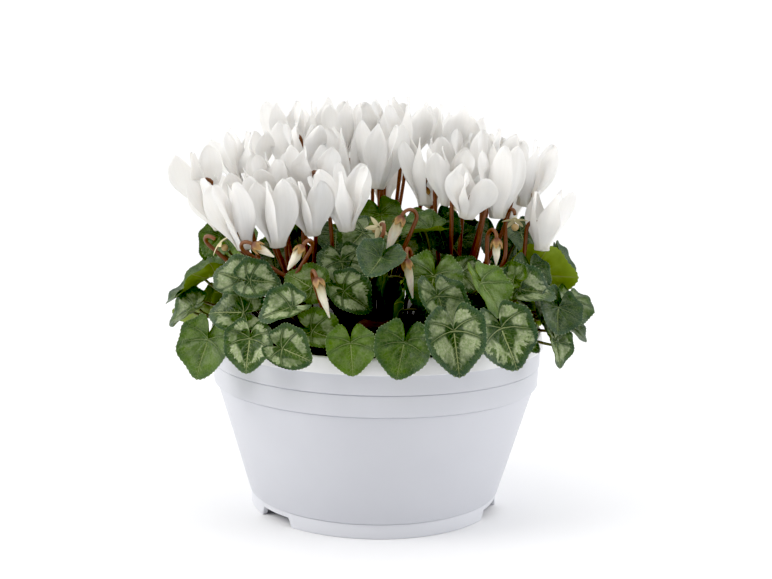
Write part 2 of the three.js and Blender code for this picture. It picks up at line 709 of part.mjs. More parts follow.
// A leaf: a waved heart whose two faces share their rim and are split into triangles alike, with the
// petiole growing from three corners of the lower face. Gives the whole leaf, or its two parts closed.
function leafSolids(plan, root, grow) {
  const points = BLADE_RIM.map((angle) => {
    const reach = heart(angle) * plan.size + grow;
    return bladePoint(plan, reach * Math.sin(radians(angle)), reach * Math.cos(radians(angle)), 0, 1);
  });
  const count = BLADE_RIM.length;
  const half = BLADE_THICKNESS / 2 + grow;
  const [near, far, farBelow, ring] = [count, count + 1, count + 2, count + 3];
  points.push(bladePoint(plan, 0, MIDRIB[0] * plan.size, half, 0));
  points.push(bladePoint(plan, 0, MIDRIB[1] * plan.size, half, 0));
  points.push(bladePoint(plan, 0, MIDRIB[1] * plan.size, -half, 0));
  const route = petiolePoints(plan, root);
  const radii = route.map(() => PETIOLE_RADIUS + grow);
  route[0].addScaledVector(plan.normal, -grow);
  const rings = ringsAlong(route, radii, plan.along);
  rings[0] = ringRound(route[0], radii[0], plan.along, plan.across);
  points.push(...rings.flat());

  const upper = [[far, near, 3], [far, count - 3, near]];
  const lower = [];
  for (let i = 0; i < count; i += 1) {
    const next = (i + 1) % count;
    const outer = i < 3 || i >= count - 3;
    upper.push([outer ? far : near, next, i]);
    if (outer) {
      lower.push([farBelow, i, next]);
    }
  }
  // Round the petiole's three corners run the midrib's far point and the rim from its third corner back.
  const rim = [farBelow, 3, 4, 5, 6, 7, 8, 9, 10, 11, farBelow];
  const corner = [0, 0, 1, 1, 1, 2, 2, 2, 0, 0];
  corner.forEach((own, i) => {
    lower.push([ring + own, rim[i], rim[i + 1]]);
    const after = corner[(i + 1) % corner.length];
    if (after !== own) {
      lower.push([ring + own, rim[i + 1], ring + after]);
    }
  });
  const { triangles, start, end } = sleeve(rings.length, ring);
  return {
    whole: () => solidFrom(points, [...upper, ...lower, ...triangles, end]),
    blade: () => solidFrom(points, [...upper, ...lower, [ring, ring + 1, ring + 2]]),
    petiole: () => solidFrom(points, [...triangles, start, end]),
  };
}

// The leaves of the rings, with a seeded scatter, where no front leaf has the place.
function ringLeaves(front) {
  const leaves = [];
  LEAF_RINGS.forEach(([count, radius, z, slope, size], ring) => {
    for (let i = 0; i < count; i += 1) {
      const between = draws(100 * (ring + 1) + i);
      const round = (360 * (i + between(-0.2, 0.2) + 0.5 * (ring % 2))) / count;
      const reach = radius + between(-5, 5);
      const x = reach * Math.cos(radians(round));
      const y = reach * Math.sin(radians(round));
      const leaf = {
        x, y,
        z: z + between(-6, 6),
        face: round + between(-25, 25),
        slope: slope + between(-10, 12),
        turn: between(-50, 50),
        size: size * between(0.82, 1.08),
        fold: between(6, 20),
      };
      const far = ({ x: fx, y: fy, z: fz }) => Math.hypot(fx - leaf.x, fy - leaf.y, fz - leaf.z) > RING_ROOM;
      if (front.every(far)) {
        leaves.push(leaf);
      }
    }
  });
  return leaves;
}

// Every solid placed so far, with its node's name, so that the next piece can be kept clear of it.
const placed = [];

function place(node, solids) {
  solids.forEach((solid) => placed.push({ node, solid, box: solid.boundingBox() }));
}

function apart(a, b) {
  return [0, 1, 2].some((axis) => a.min[axis] > b.max[axis] || b.min[axis] > a.max[axis]);
}

function crosses(solid, isOther) {
  const box = solid.boundingBox();
  return placed.some((other) => {
    if (!isOther(other) || apart(box, other.box)) {
      return false;
    }
    const common = solid.intersect(other.solid);
    const meets = !common.isEmpty();
    common.delete();
    return meets;
  });
}

// Whether any two of the solids cross.
function meet(solids) {
  return solids.some((one, i) => solids.slice(i + 1).some((other) => !one.intersect(other).isEmpty()));
}

// The first of the small moves that keeps a piece clear of all that is placed, or null where none does.
function settle(reach, plan, isClear) {
  for (let k = 0; k < TRIES; k += 1) {
    const tried = plan(nudge(k, reach));
    if (isClear(tried)) {
      return tried;
    }
  }
  return null;
}

const plantNodes = new Map(PLANTS.map((plant) => [plant, [makeCorm(plant)]]));
const bowl = makeBowl();
const roots = sprayRoots();
const soil = makeSoil(roots);
place("bowl", [bowl]);
place("soil", [soil]);
for (const [plant, solids] of plantNodes) {
  place(plant.name, solids);
}
for (const root of roots) {
  root.stub = solidOf(peg(ROOT_RADIUS, ROOT_BOTTOM, ROOT_TOP, ROOT_SIDES).translate(root.x, root.y, 0));
  place(root.name, [root.stub]);
}

// A bloom is clear where its stem, its petals and its tube cross neither each other nor a neighbour.
function bloomIsClear(plan) {
  const stem = bloomStem(plan, GAP);
  if (crosses(stem, (other) => other.node !== plan.plant.name)) {
    return false;
  }
  const parts = bloomParts(plan, 0);
  if (meet(parts.slice(1)) || parts.some((part) => meet([part, stem]))) {
    return false;
  }
  return !bloomParts(plan, GAP).some((part) => crosses(part, () => true));
}

const blooms = [];
for (let i = 0; i < BLOOMS.length; i += 1) {
  const name = `bloom_${i + 1}`;
  const plan = settle(BLOOM_REACH, (move) => bloomPlan(i, move), bloomIsClear);
  if (plan) {
    const stem = bloomStem(plan, 0);
    place(name, bloomParts(plan, 0));
    place(plan.plant.name, [stem]);
    plantNodes.get(plan.plant).push(stem);
    blooms.push({ name, solid: makeBloom(plan) });
  }
}

function budIsClear(plan) {
  return !crosses(budStem(plan, GAP), (other) => other.node !== plan.plant.name);
}

for (let i = 0; i < BUDS.length; i += 1) {
  const plan = settle(BLOOM_REACH, (move) => budPlan(i, move), budIsClear);
  if (plan) {
    const stem = budStem(plan, 0);
    place(plan.plant.name, [stem]);
    plantNodes.get(plan.plant).push(stem);
  }
}

// A leaf's petiole may meet the others of its own spray, but its blade stays clear of everything.
function leafIsClear(plan, root) {
  const grown = leafSolids(plan, root, GAP);
  const petioleClear = !crosses(grown.petiole(), (other) => other.node !== root.name);
  return petioleClear && !crosses(grown.blade(), () => true);
}

const front = FRONT_LEAVES.map(([x, y, z, face, slope, turn, size, fold]) => {
  return { x, y, z, face, slope, turn, size, fold };
});
for (const leaf of [...front, ...ringLeaves(front)]) {
  const root = nearest(roots, leaf);
  const plan = settle(LEAF_REACH, (move) => leafPlan(leaf, move), (tried) => leafIsClear(tried, root));
  if (plan) {
    const whole = leafSolids(plan, root, 0).whole();
    place(root.name, [whole]);
    root.leaves.push(whole);
  }
}

const potted_cyclamen = new THREE.Group();

function addPiece(name, solid, looks) {
  const mesh = new THREE.Mesh(geometryOf(solid), new THREE.MeshStandardMaterial(looks));
  mesh.name = name;
  potted_cyclamen.add(mesh);
}

addPiece("bowl", bowl, COLOURS.bowl);
addPiece("soil", soil, COLOURS.soil);
for (const [plant, solids] of plantNodes) {
  addPiece(`corm_and_flower_stems_${plant.name}`, joined(solids), COLOURS.stem);
}
for (const root of roots) {
  addPiece(root.name, joined([root.stub, ...root.leaves]), COLOURS.leaf);
}
for (const { name, solid } of blooms) {
  addPiece(name, solid, COLOURS.petal);
}

export default potted_cyclamen;
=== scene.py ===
"""A potted cyclamen: three white-flowered plants with patterned leaves in one round plastic bowl.

The placing repeats the rules of the solid model, in millimetres, with its origin under the middle of the
bowl's foot, +Z up and the front at -Y. A piece that the model nudged clear of its neighbours is found
again by comparing points of each try with the corners of its node.
"""

import math
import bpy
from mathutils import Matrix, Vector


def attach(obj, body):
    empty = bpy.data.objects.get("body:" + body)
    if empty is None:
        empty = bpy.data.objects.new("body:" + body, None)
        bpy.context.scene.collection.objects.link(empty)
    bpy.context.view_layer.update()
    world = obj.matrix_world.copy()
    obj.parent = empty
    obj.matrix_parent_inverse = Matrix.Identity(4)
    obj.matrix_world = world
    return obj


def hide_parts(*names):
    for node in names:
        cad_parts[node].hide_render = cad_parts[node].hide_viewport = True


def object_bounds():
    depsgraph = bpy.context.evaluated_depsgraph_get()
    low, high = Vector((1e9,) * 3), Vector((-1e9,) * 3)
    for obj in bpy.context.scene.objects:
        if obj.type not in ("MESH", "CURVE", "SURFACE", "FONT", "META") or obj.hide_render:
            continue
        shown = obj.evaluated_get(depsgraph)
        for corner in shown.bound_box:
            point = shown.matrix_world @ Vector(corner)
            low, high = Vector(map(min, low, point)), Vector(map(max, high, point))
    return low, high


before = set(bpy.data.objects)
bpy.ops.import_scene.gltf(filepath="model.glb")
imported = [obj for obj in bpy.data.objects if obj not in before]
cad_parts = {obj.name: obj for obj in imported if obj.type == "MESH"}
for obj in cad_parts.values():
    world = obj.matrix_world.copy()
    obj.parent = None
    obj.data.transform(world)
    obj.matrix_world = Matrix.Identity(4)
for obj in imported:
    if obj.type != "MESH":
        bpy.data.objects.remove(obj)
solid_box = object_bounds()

from types import SimpleNamespace

import bpy
import numpy as np
from mathutils import Matrix, Vector

MM = 0.001
Z = np.array([0.0, 0.0, 1.0])

# Bowl
RIM_RADIUS = 135
BOWL_HEIGHT = 146
LIP_HEIGHT = 12
BAND_RADIUS = 131
BAND_BOTTOM = 102
BAND_LINE = 119
WALL_TOP_RADIUS = 128.2
FOOT_RADIUS = 100
STEP_HEIGHT = 12.3
WALL = 2.2
FOOT_WALL = 4
BASE_UNDERSIDE = 8
BASE_TOP = 10.5
NOTCH_ANGLES = (-50, 70, 190)  # degrees from the front towards +X
NOTCH_WIDTH = 40
NOTCH_TOP_WIDTH = 31
NOTCH_HEIGHT = 7.3
NOTCH_SIDE = (8.2, 12.2)  # degrees from a notch's middle between which its slanted sides lie
DRAIN_HOLES = 6
DRAIN_RADIUS = 3.5
DRAIN_CIRCLE = 78
GROOVE = 1
LIP_BEVEL = 2.2

# Soil
SOIL_EDGE = 131
SOIL_TOP = 135.5
SOIL_FLAT = 100  # the radius within which it is level
SOIL_SLUMP = 0.6  # how far the lumps' middle level lies under the solid model's top
GAP = 0.35
CRUMBS = 900
CRUMB_SIZE = 2.6  # the largest one's radius
CRUMB_CIRCLE = 126  # the radius within which they are strewn
CRUMB_SLOPE_END = 128  # the radius at which the ground under the crumbs is down at the soil's edge

# Plants: x, y and the way their leaf sprays look, in degrees
CORM_RADIUS = 22
CORM_MIDDLE = 131
CORM_DEPTH = 12  # below its widest part
CORM_RISE = 10  # above it
PLANTS = [
    SimpleNamespace(name="left", x=-52, y=-28, outward=220),
    SimpleNamespace(name="right", x=58, y=-22, outward=-40),
    SimpleNamespace(name="back", x=2, y=56, outward=90),
]
SPRAYS_EACH = 5
SPRAY_SPREAD = 45  # degrees between the sprays of one plant
SPRAY_CIRCLE = 33
ROOT_RADIUS = 4.5
ROOT_BOTTOM = 120
ROOT_TOP = 138
FOOT_CIRCLE = 2.8  # the circle in a root's top on which its petioles stand
FOOT_FAN = 2.2  # how much wider they are spread there than their leaves are

# Flowers and leaves
LEAN_ASIDE = 0.0011  # how far a bloom leans out for each millimetre from the middle, to the side
LEAN_BACK = 0.0022  # and to the front or back
TUBE_LENGTH = 11
MOUTH_RADIUS = 5.8
TUBE_TOP_RADIUS = 3.6
HOOK_RADIUS = 6.5
STEM_DROP = 8  # how far below a bloom's nose its stem's long curve ends
STEM_RADIUS = 1.5
PETIOLE_RADIUS = 1.4
BUD_TIP_RADIUS = 0.4
PETAL_ANGLES = (56, 118, 180, 242, 304)  # round the tube from the stem, which has the widest gap
PETAL_HALF_WIDTH = 9.3
PETAL_WIDEST = 0.62  # where a petal is widest, as a share of its length
CALYX_LENGTH = 4
CALYX_RADIUS = 3.8
STAR_LENGTH = 12  # a bud up to this long is a spent flower
SEPAL_ANGLE = 1.257  # a fifth of a turn, in radians
BLADE_THICKNESS = 1.8
BLADE_MIDDLE = 0.25  # how far a blade's middle is from its joint, as a share of its length
PETIOLE_JOINT = 0.12  # how far along the blade its petiole joins it, as a share of its length
RIM_WAVES = 7  # round one blade
RIM_DOTS = 0.0654  # radians from a rim's dot to the middle of the gap beside it
VEIN_ANGLES = (0, 0.62, 1.25, 1.95, 2.6)  # radians from the tip at which the sunk veins leave the joint
SIDE_VEIN_ANGLES = (1.4, 2.25)  # and the pale side veins
VEIN_BEND = 0.22  # how much nearer to the tip's direction a vein ends, as a share of its angle

# The half ellipsoid that the foliage fills, inside which shade is painted: its foot's height, its radius
# and its height
FOLIAGE_FOOT = 125
FOLIAGE_RADIUS = 165
FOLIAGE_HEIGHT = 105

# How finely the surfaces are made
ROUND_STEPS = 192
PETAL_ROWS = 26
PETAL_COLUMNS = 12
BLADE_COLUMNS = 96
BLADE_RINGS = (0.07, 0.17, 0.28, 0.39, 0.5, 0.6, 0.7, 0.8, 0.89, 0.96, 1)
STALK_SIDES = 8  # of a flower stem or a petiole
STALK_STEPS = 14
HOOK_STEPS = 10
TUBE_SIDES = 30
CALYX_SIDES = 40
BUD_SIDES = 20
BUD_ROWS = 26
SOIL_ROWS = 96

# Moves tried on a piece in the solid model
TRIES = 240
LEAF_REACH = 30
BLOOM_REACH = 20
FOUND_WITHIN = 0.05

# Seeds of the draws
NUDGE_SEED = 500
BLOOM_SEED = 4000
BUD_SEED = 6000
BLADE_SEED = 9000
CRUMB_SEED = 7

# Camera, as fitted to the photograph
IMAGE_WIDTH = 772
FOCAL_PIXELS = 1287
CAMERA_DISTANCE = 1026
CAMERA_HEIGHT = 341
CAMERA_PITCH = math.radians(9.21)
CAMERA_YAW = math.radians(0.38)
CAMERA_ROLL = math.radians(1.16)
SENSOR_WIDTH = 36

# Light and floor
WHITE = 1.02  # the surround's radiance behind, overhead and along the horizon
DIM = 0.1  # and at the front
EXPOSURE = 0.32
BLACK_LEVEL = 0.016
LIGHT_SIZE = 0.9  # metres
LIGHT_TARGET = (0, 0, 0.2)  # metres
FLOOR_HALF = 40  # metres

# Blooms: the nose's x, y, z, how far the petals open, and their length.
BLOOMS = [
    (-24, -62, 229, 8, 50),
    (-48, -64, 228, 4, 44),
    (-70, -67, 221, 3, 52),
    (-90, -76, 219, 4, 52),
    (-94, -54, 231, 4, 36),
    (-113, -44, 222, 4, 42),
    (-132, -18, 238, 7, 46),
    (126, -40, 214, 6, 46),
    (91, -38, 238, 4, 56),
    (68, -48, 241, 6, 38),
    (54, -26, 246, 5, 44),
    (37, 2, 243, 6, 54),
    (-2, 8, 255, 5, 52),
    (-24, 22, 257, 6, 48),
    (-54, -24, 249, 6, 42),
    (-84, -22, 243, 5, 40),
    (-104, 2, 252, 7, 50),
    (-66, 14, 257, 6, 50),
    (-114, 30, 256, 6, 40),
    (84, -8, 248, 5, 56),
    (94, 16, 250, 5, 50),
    (109, -4, 248, 4, 52),
    (97, 40, 256, 5, 42),
    (74, 26, 260, 5, 46),
    (50, 48, 273, 6, 50),
    (18, 38, 276, 5, 46),
    (-32, 52, 276, 5, 46),
    (-78, 54, 274, 6, 48),
    (-56, 80, 276, 5, 48),
    (-18, 84, 274, 6, 50),
    (4, 68, 280, 5, 46),
    (28, 84, 281, 5, 44),
    (66, 78, 268, 6, 46),
    (108, 48, 238, 6, 46),
    (94, 92, 234, 7, 46),
    (46, 118, 230, 6, 48),
    (4, 124, 236, 7, 48),
    (-40, 118, 230, 6, 48),
    (-88, 92, 236, 8, 46),
]

# Buds and spent flowers: the tip's x, y, z, the way and the angle the top leans, length and thickness.
BUDS = [
    (6, -66, 214, 0, 22, 26, 4.4),
    (-4, -56, 228, -60, 60, 9, 3.4),
    (89, -66, 205, 90, 10, 17, 3),
    (26, -92, 183, 170, 10, 26, 3),
    (-76, -92, 212, 180, 60, 15, 3),
    (-66, -96, 203, 30, 35, 18, 3.6),
    (-34, -118, 172, 140, 25, 27, 3.2),
    (-112, -66, 212, 180, 50, 10, 3),
    (104, -52, 228, 90, 30, 12, 3.2),
    (60, 118, 216, 40, 30, 20, 3.4),
    (-70, 112, 214, 150, 30, 20, 3.4),
]

# How a blade is coloured: how bright its green is, how strong its silver band, how wide the dark middle
# inside the band, and how strong its pale veins.
LOOKS = {
    "banded": (0.25, 0.95, 0.9, 0.9),
    "fishbone": (0.15, 1.0, 0.5, 0.8),
    "silver": (0.2, 0.85, 0.4, 0.45),
    "mottled": (0.3, 0.6, 0.3, 0.5),
    "plain": (0.4, 0.1, 0.5, 0.35),
    "cupped": (0.75, 0.25, 0.5, 0.75),
    "young": (0.7, 0.5, 0.6, 0.8),
    "bright": (0.9, 0.2, 0.5, 0.5),
    "olive": (0.55, 0.2, 0.4, 0.4),
    "lime": (1.0, 0.1, 0.5, 0.2),
    "dark": (0.03, 0.14, 0.6, 0.45),
}

# Leaves seen from the front: the middle's x, y, z, the way the face looks, its slope,
# the tip's turn from straight downhill, the length, the fold along the midrib, and the look.
FRONT_LEAVES = [
    (-91, -127, 147, -100, 62, -8, 28, 8, "banded"),
    (18, -137, 152, -92, 62, -10, 31, 8, "plain"),
    (94, -119, 155, -78, 64, 12, 36, 10, "fishbone"),
    (56, -131, 158, -90, 68, 8, 37, 28, "fishbone"),
    (-60, -139, 150, -90, 55, 75, 25, 10, "banded"),
    (-25, -139, 144, -88, 52, 0, 27, 8, "bright"),
    (-119, -90, 140, -115, 62, 0, 34, 10, "olive"),
    (-40, -114, 158, -90, 38, 75, 27, 16, "young"),
    (-106, -102, 174, -95, 50, -90, 30, 10, "banded"),
    (-87, -97, 195, -90, 55, 90, 25, 10, "silver"),
    (-108, -86, 200, -100, 50, -110, 26, 10, "silver"),
    (-50, -98, 199, -85, 55, -135, 25, 12, "young"),
    (-68, -120, 178, -90, 32, -70, 27, 18, "silver"),
    (40, -80, 189, -90, 62, -8, 35, 22, "cupped"),
    (-34, -64, 206, -80, 58, 20, 30, 10, "silver"),
    (-19, -94, 184, -70, 50, 50, 28, 14, "silver"),
    (-9, -60, 194, -60, 62, 0, 25, 10, "mottled"),
    (-137, -46, 186, 190, 22, 0, 33, 16, "olive"),
    (-160, -26, 171, 186, 24, 10, 25, 10, "dark"),
    (-146, -58, 164, -138, 38, -45, 27, 12, "mottled"),
    (-128, -24, 203, -115, 52, 10, 20, 14, "young"),
    (-104, -44, 206, -90, 26, -40, 23, 12, "olive"),
    (115, -68, 187, -85, 38, 85, 32, 16, "silver"),
    (132, -28, 195, 80, 62, 270, 38, 10, "lime"),
    (150, -18, 188, -20, 50, 0, 28, 10, "dark"),
    (166, -14, 164, 0, 14, 0, 20, 8, "young"),
    (134, -62, 163, -60, 50, 0, 27, 12, "mottled"),
    (152, -44, 155, -30, 32, 0, 22, 10, "dark"),
    (136, -74, 143, -40, 60, 0, 23, 16, "mottled"),
    (97, -63, 194, -100, 50, -120, 20, 22, "young"),
    (72, -26, 210, -90, 62, 20, 26, 20, "dark"),
    (67, -54, 192, -80, 40, 40, 22, 12, "mottled"),
    (36, -24, 221, -90, 24, -60, 29, 12, "olive"),
    (6, -74, 190, -168, 80, 10, 32, 24, "dark"),
    (18, -99, 172, -172, 78, -10, 31, 24, "dark"),
    (124, -50, 160, -60, 52, -15, 28, 12, "dark"),
    (2, 8, 230, -90, 44, 20, 26, 10, "bright"),
    (108, -16, 214, -70, 48, 0, 26, 12, "dark"),
    (20, -50, 205, -90, 50, 30, 28, 14, "mottled"),
    (93, 8, 214, -75, 50, -10, 27, 12, "dark"),
    (52, -4, 222, -90, 40, 10, 28, 12, "mottled"),
    (118, -42, 204, -60, 45, -20, 26, 12, "dark"),
    (-16, -32, 218, -95, 40, -30, 28, 12, "mottled"),
    (24, 8, 226, -80, 40, 0, 28, 12, "bright"),
    (-42, -4, 222, -100, 35, 20, 28, 12, "dark"),
    (66, 26, 208, -85, 45, 10, 27, 12, "dark"),
    (112, 14, 206, -65, 50, -15, 27, 12, "dark"),
    (134, -24, 168, -45, 48, 10, 26, 12, "mottled"),
    (77, -56, 172, -80, 50, 15, 27, 12, "dark"),
    (-82, -6, 204, -100, 42, 15, 27, 12, "mottled"),
    (-112, 8, 204, -120, 42, 0, 26, 12, "bright"),
    (42, 40, 214, -85, 40, -10, 27, 12, "dark"),
]

# Rings of leaves that fill the rest of the skirt: how many, radius, height, slope and length.
LEAF_RINGS = [
    (20, 141, 156, 46, 32),
    (19, 122, 178, 42, 33),
    (17, 94, 200, 32, 33),
    (10, 58, 214, 24, 30),
]
RING_ROOM = 24
RING_LOOKS = ("banded", "fishbone", "silver", "silver", "mottled", "mottled", "plain", "young", "bright",
              "olive", "dark", "dark")


# Numbers and vectors


def draws(seed):
    """Repeatable draws between two numbers: each state is the last one times 16807, modulo 2^31 - 1."""
    modulus = 2147483647
    state = (seed * 7919 + 104729) % modulus

    def between(low, high):
        nonlocal state
        state = state * 16807 % modulus
        return low + (high - low) * state / modulus

    for _ in range(4):
        between(0, 1)
    return between


def unit(v):
    return v / np.sqrt((v * v).sum(-1, keepdims=True))


def cross(a, b):
    """The cross product of two single vectors, written out because that is quicker than numpy's."""
    return np.array([a[1] * b[2] - a[2] * b[1], a[2] * b[0] - a[0] * b[2], a[0] * b[1] - a[1] * b[0]])


def level(degrees):
    """The level direction at an angle from +X."""
    return np.array([math.cos(math.radians(degrees)), math.sin(math.radians(degrees)), 0.0])


def spread(*terms):
    """A sum of vectors with a whole array of factors for each: spread(v, a, w, b) is a*v + b*w."""
    return sum(np.asarray(factor)[..., None] * vector for vector, factor in zip(terms[::2], terms[1::2]))


def nearest(places, point):
    return min(places, key=lambda place: math.hypot(place.x - point[0], place.y - point[1]))


def round_angles(count):
    """Evenly spaced angles of one turn."""
    return np.linspace(0, 2 * math.pi, count, endpoint=False)


def smooth(low, high, x):
    """A smooth step: 0 below low, 1 above high, 3t^2 - 2t^3 between them."""
    t = np.clip((x - low) / (high - low), 0, 1)
    return t * t * (3 - 2 * t)


def cubic(a, b, c, d, steps):
    """Points of a cubic curve with ends a and d and handles b and c."""
    t = np.linspace(0, 1, steps + 1)
    return spread(a, (1 - t) ** 3, b, 3 * t * (1 - t) ** 2, c, 3 * t * t * (1 - t), d, t ** 3)


def lumps(points, size, seed, waves=14):
    """Soft noise from -1 to 1 at each point: a sum of sines along seeded directions, of a wavelength
    near size."""
    rng = np.random.default_rng(seed)
    direction = unit(rng.normal(size=(waves, 3)))
    rate = 2 * math.pi / (size * rng.uniform(0.7, 1.5, waves))
    shift = rng.uniform(0, 2 * math.pi, waves)
    return np.sin(points @ (direction * rate[:, None]).T + shift).sum(-1) / (0.5 * waves)


# Meshes


class Form:
    """Surfaces gathered for one piece: points in millimetres, and four- and three-cornered faces with a
    material for each. Every point also has a place on its own surface and the look of its own part."""

    def __init__(self, *finishes):
        self.finishes = finishes
        self.points, self.places, self.looks = [], [], []
        self.faces = {4: [], 3: []}
        self.kinds = {4: [], 3: []}
        self.count = 0

    def add_points(self, points, place, look):
        points = points.reshape(-1, 3)
        first = self.count
        self.points.append(points)
        self.places.append(np.broadcast_to(place, points.shape))
        self.looks.append(np.broadcast_to(look, (len(points), 4)))
        self.count += len(points)
        return first

    def add_faces(self, faces, finish):
        sides = faces.shape[1]
        self.faces[sides].append(faces)
        self.kinds[sides].append(np.broadcast_to(finish, len(faces)))

    def sleeve(self, rings, finish=0, place=(0, 0, 0), look=(0, 0, 0, 0), ends=(None, None)):
        """A surface through closed rings of points, each counter-clockwise seen from the rings after
        it. finish is a number, or one for each band of faces. An end is closed to a point where one is
        given."""
        rows, columns = rings.shape[:2]
        place = np.broadcast_to(place, rings.shape)
        first = self.add_points(rings, place.reshape(-1, 3), look)
        here = first + np.arange(rows * columns).reshape(rows, columns)
        beside = np.roll(here, -1, axis=1)
        quads = np.stack([here[:-1], beside[:-1], beside[1:], here[1:]], -1)
        kinds = np.broadcast_to(np.reshape(finish, (-1, 1)), quads.shape[:2])
        self.add_faces(quads.reshape(-1, 4), kinds.ravel())
        for end, row, turn in ((ends[0], 0, -1), (ends[1], rows - 1, 1)):
            if end is None:
                continue
            middle = self.add_points(np.asarray(end, float), place[row].mean(0), look)
            fan = np.stack([here[row], beside[row], np.full(columns, middle)], -1)[:, ::turn]
            self.add_faces(fan, np.ravel(kinds)[0 if row == 0 else -1])

    def shaped(self, name, crease):
        """The surfaces as one object, kept inside the solid model's box: smooth, but sharp where faces
        meet at more than crease degrees."""
        mesh = bpy.data.meshes.new(name)
        points = np.clip(np.concatenate(self.points) * MM, *solid_box)
        mesh.vertices.add(len(points))
        mesh.vertices.foreach_set("co", points.astype(np.float32).ravel())
        corners, sizes, kinds = [], [], []
        for sides in (4, 3):
            if self.faces[sides]:
                faces = np.concatenate(self.faces[sides])
                corners.append(faces.ravel())
                sizes.append(np.full(len(faces), sides))
                kinds.append(np.concatenate(self.kinds[sides]))
        corners, sizes, kinds = map(np.concatenate, (corners, sizes, kinds))
        mesh.loops.add(len(corners))
        mesh.loops.foreach_set("vertex_index", corners.astype(np.int32))
        mesh.polygons.add(len(sizes))
        mesh.polygons.foreach_set("loop_start", (np.cumsum(sizes) - sizes).astype(np.int32))
        mesh.polygons.foreach_set("material_index", kinds.astype(np.int32))
        mesh.update(calc_edges=True)
        mesh.validate()
        mesh.shade_smooth()
        mesh.set_sharp_from_angle(angle=math.radians(crease))
        place = mesh.attributes.new("place", "FLOAT_VECTOR", "POINT")
        place.data.foreach_set("vector", np.concatenate(self.places).astype(np.float32).ravel())
        look = mesh.attributes.new("look", "FLOAT_COLOR", "POINT")
        look.data.foreach_set("color", np.concatenate(self.looks).astype(np.float32).ravel())
        for finish in self.finishes:
            mesh.materials.append(finish)
        piece = bpy.data.objects.new(name, mesh)
        bpy.context.scene.collection.objects.link(piece)
        return piece

    def finish(self, name, nodes, slot, crease=50):
        """The surfaces as a piece that stands for nodes of the solid model."""
        piece = self.shaped(name, crease)
        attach(piece, "root")
        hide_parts(*nodes)
        return piece


def turned(profile, angles):
    """Rings round Z of a profile of [radius, height] points that goes up the outside."""
    radius, height = np.asarray(profile, float).T
    return np.stack([np.outer(radius, np.cos(angles)), np.outer(radius, np.sin(angles)),
                     np.broadcast_to(height[:, None], (len(radius), len(angles)))], -1)


def rounded(corners, steps=4):
    """A profile of (radius, height, rounding) corners: each corner becomes a quadratic curve that leaves
    its two sides at the rounding's distance from it."""
    places = np.array([corner[:2] for corner in corners], float)
    profile = [places[0]]
    for before, here, after, (_, _, rounding) in zip(places, places[1:], places[2:], corners[1:]):
        if rounding == 0:
            profile.append(here)
            continue
        start = here + rounding * unit(before - here)
        end = here + rounding * unit(after - here)
        t = np.linspace(0, 1, steps + 1)[:, None]
        profile.extend((1 - t) ** 2 * start + 2 * t * (1 - t) * here + t * t * end)
    profile.append(places[-1])
    return np.array(profile)


def rings_along(path, radii, start, sides):
    """Rings round the points of a path. Each ring's first direction is the last one's with its part along
    the path taken away, so the rings don't twist."""
    along = unit(np.gradient(path, axis=0))
    first = np.empty_like(path)
    for i, direction in enumerate(along):
        start = start - direction * (start @ direction)
        start = start / math.sqrt(start @ start)
        first[i] = start
    second = np.cross(along, first)
    angles = round_angles(sides)
    reach = np.broadcast_to(np.asarray(radii, float)[:, None], (len(path), sides))
    return path[:, None] + spread(first[:, None], reach * np.cos(angles),
                                  second[:, None], reach * np.sin(angles))


def places_along(rings, share):
    """The places of rings whose second number is each ring's share of the way."""
    place = np.zeros((*rings.shape[:2], 3))
    place[..., 1] = np.reshape(share, (-1, 1))
    return place


# Where the pieces stand


def corners_of(node):
    """A node's corners in millimetres."""
    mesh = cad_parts[node].data
    points = np.empty(3 * len(mesh.vertices), np.float32)
    mesh.vertices.foreach_get("co", points)
    return points.reshape(-1, 3) / MM


def nudge(k, most):
    """The k-th small move tried on a piece: its draws reach most * k / TRIES each way."""
    between = draws(NUDGE_SEED + k)
    reach = most * k / TRIES
    shift = np.array([between(-reach, reach) for _ in range(3)])
    turn, slope, bow = [between(-reach, reach) for _ in range(3)]
    return SimpleNamespace(k=k, shift=shift, turn=turn, slope=slope, bow=bow)


def found(plan, most, key, node_corners):
    """The plan of the try that fits the node best, or None where none fits. Its key gives a point and how
    far from it how many corners of the node should be."""
    best, best_miss = None, FOUND_WITHIN
    for k in range(TRIES):
        tried = plan(nudge(k, most))
        point, distance, count = key(tried)
        reaches = np.sqrt(((node_corners - point) ** 2).sum(1))
        miss = np.abs(np.partition(reaches, count)[:count] - distance).max()
        if miss < best_miss:
            best, best_miss = tried, miss
    return best


def spray_roots():
    """Where the sprays of leaves stand round each corm."""
    roots = []
    for plant in PLANTS:
        for i in range(SPRAYS_EACH):
            outward = plant.outward + SPRAY_SPREAD * (i - (SPRAYS_EACH - 1) / 2)
            x, y, _ = np.array([plant.x, plant.y, 0]) + SPRAY_CIRCLE * level(outward)
            name = f"leaf_spray_{plant.name}_{i + 1}"
            roots.append(SimpleNamespace(name=name, x=x, y=y, outward=outward))
    return roots


def stem_foot(plant, place, reach):
    """The flower stem's foot on the corm, on the side that the flower is on."""
    side = np.array([place[0] - plant.x, place[1] - plant.y, 0])
    middle = np.array([plant.x, plant.y, CORM_MIDDLE + CORM_RISE / 2])
    return middle + side * reach / (math.sqrt(side @ side) + 20)


def nodding(nose, up, foot):
    """A nodding flower's own directions: up its tube, towards its stem, and across both."""
    inward = foot - nose
    stemward = unit(inward - up * (inward @ up))
    return SimpleNamespace(nose=nose, up=up, stemward=stemward, across=cross(up, stemward), foot=foot)


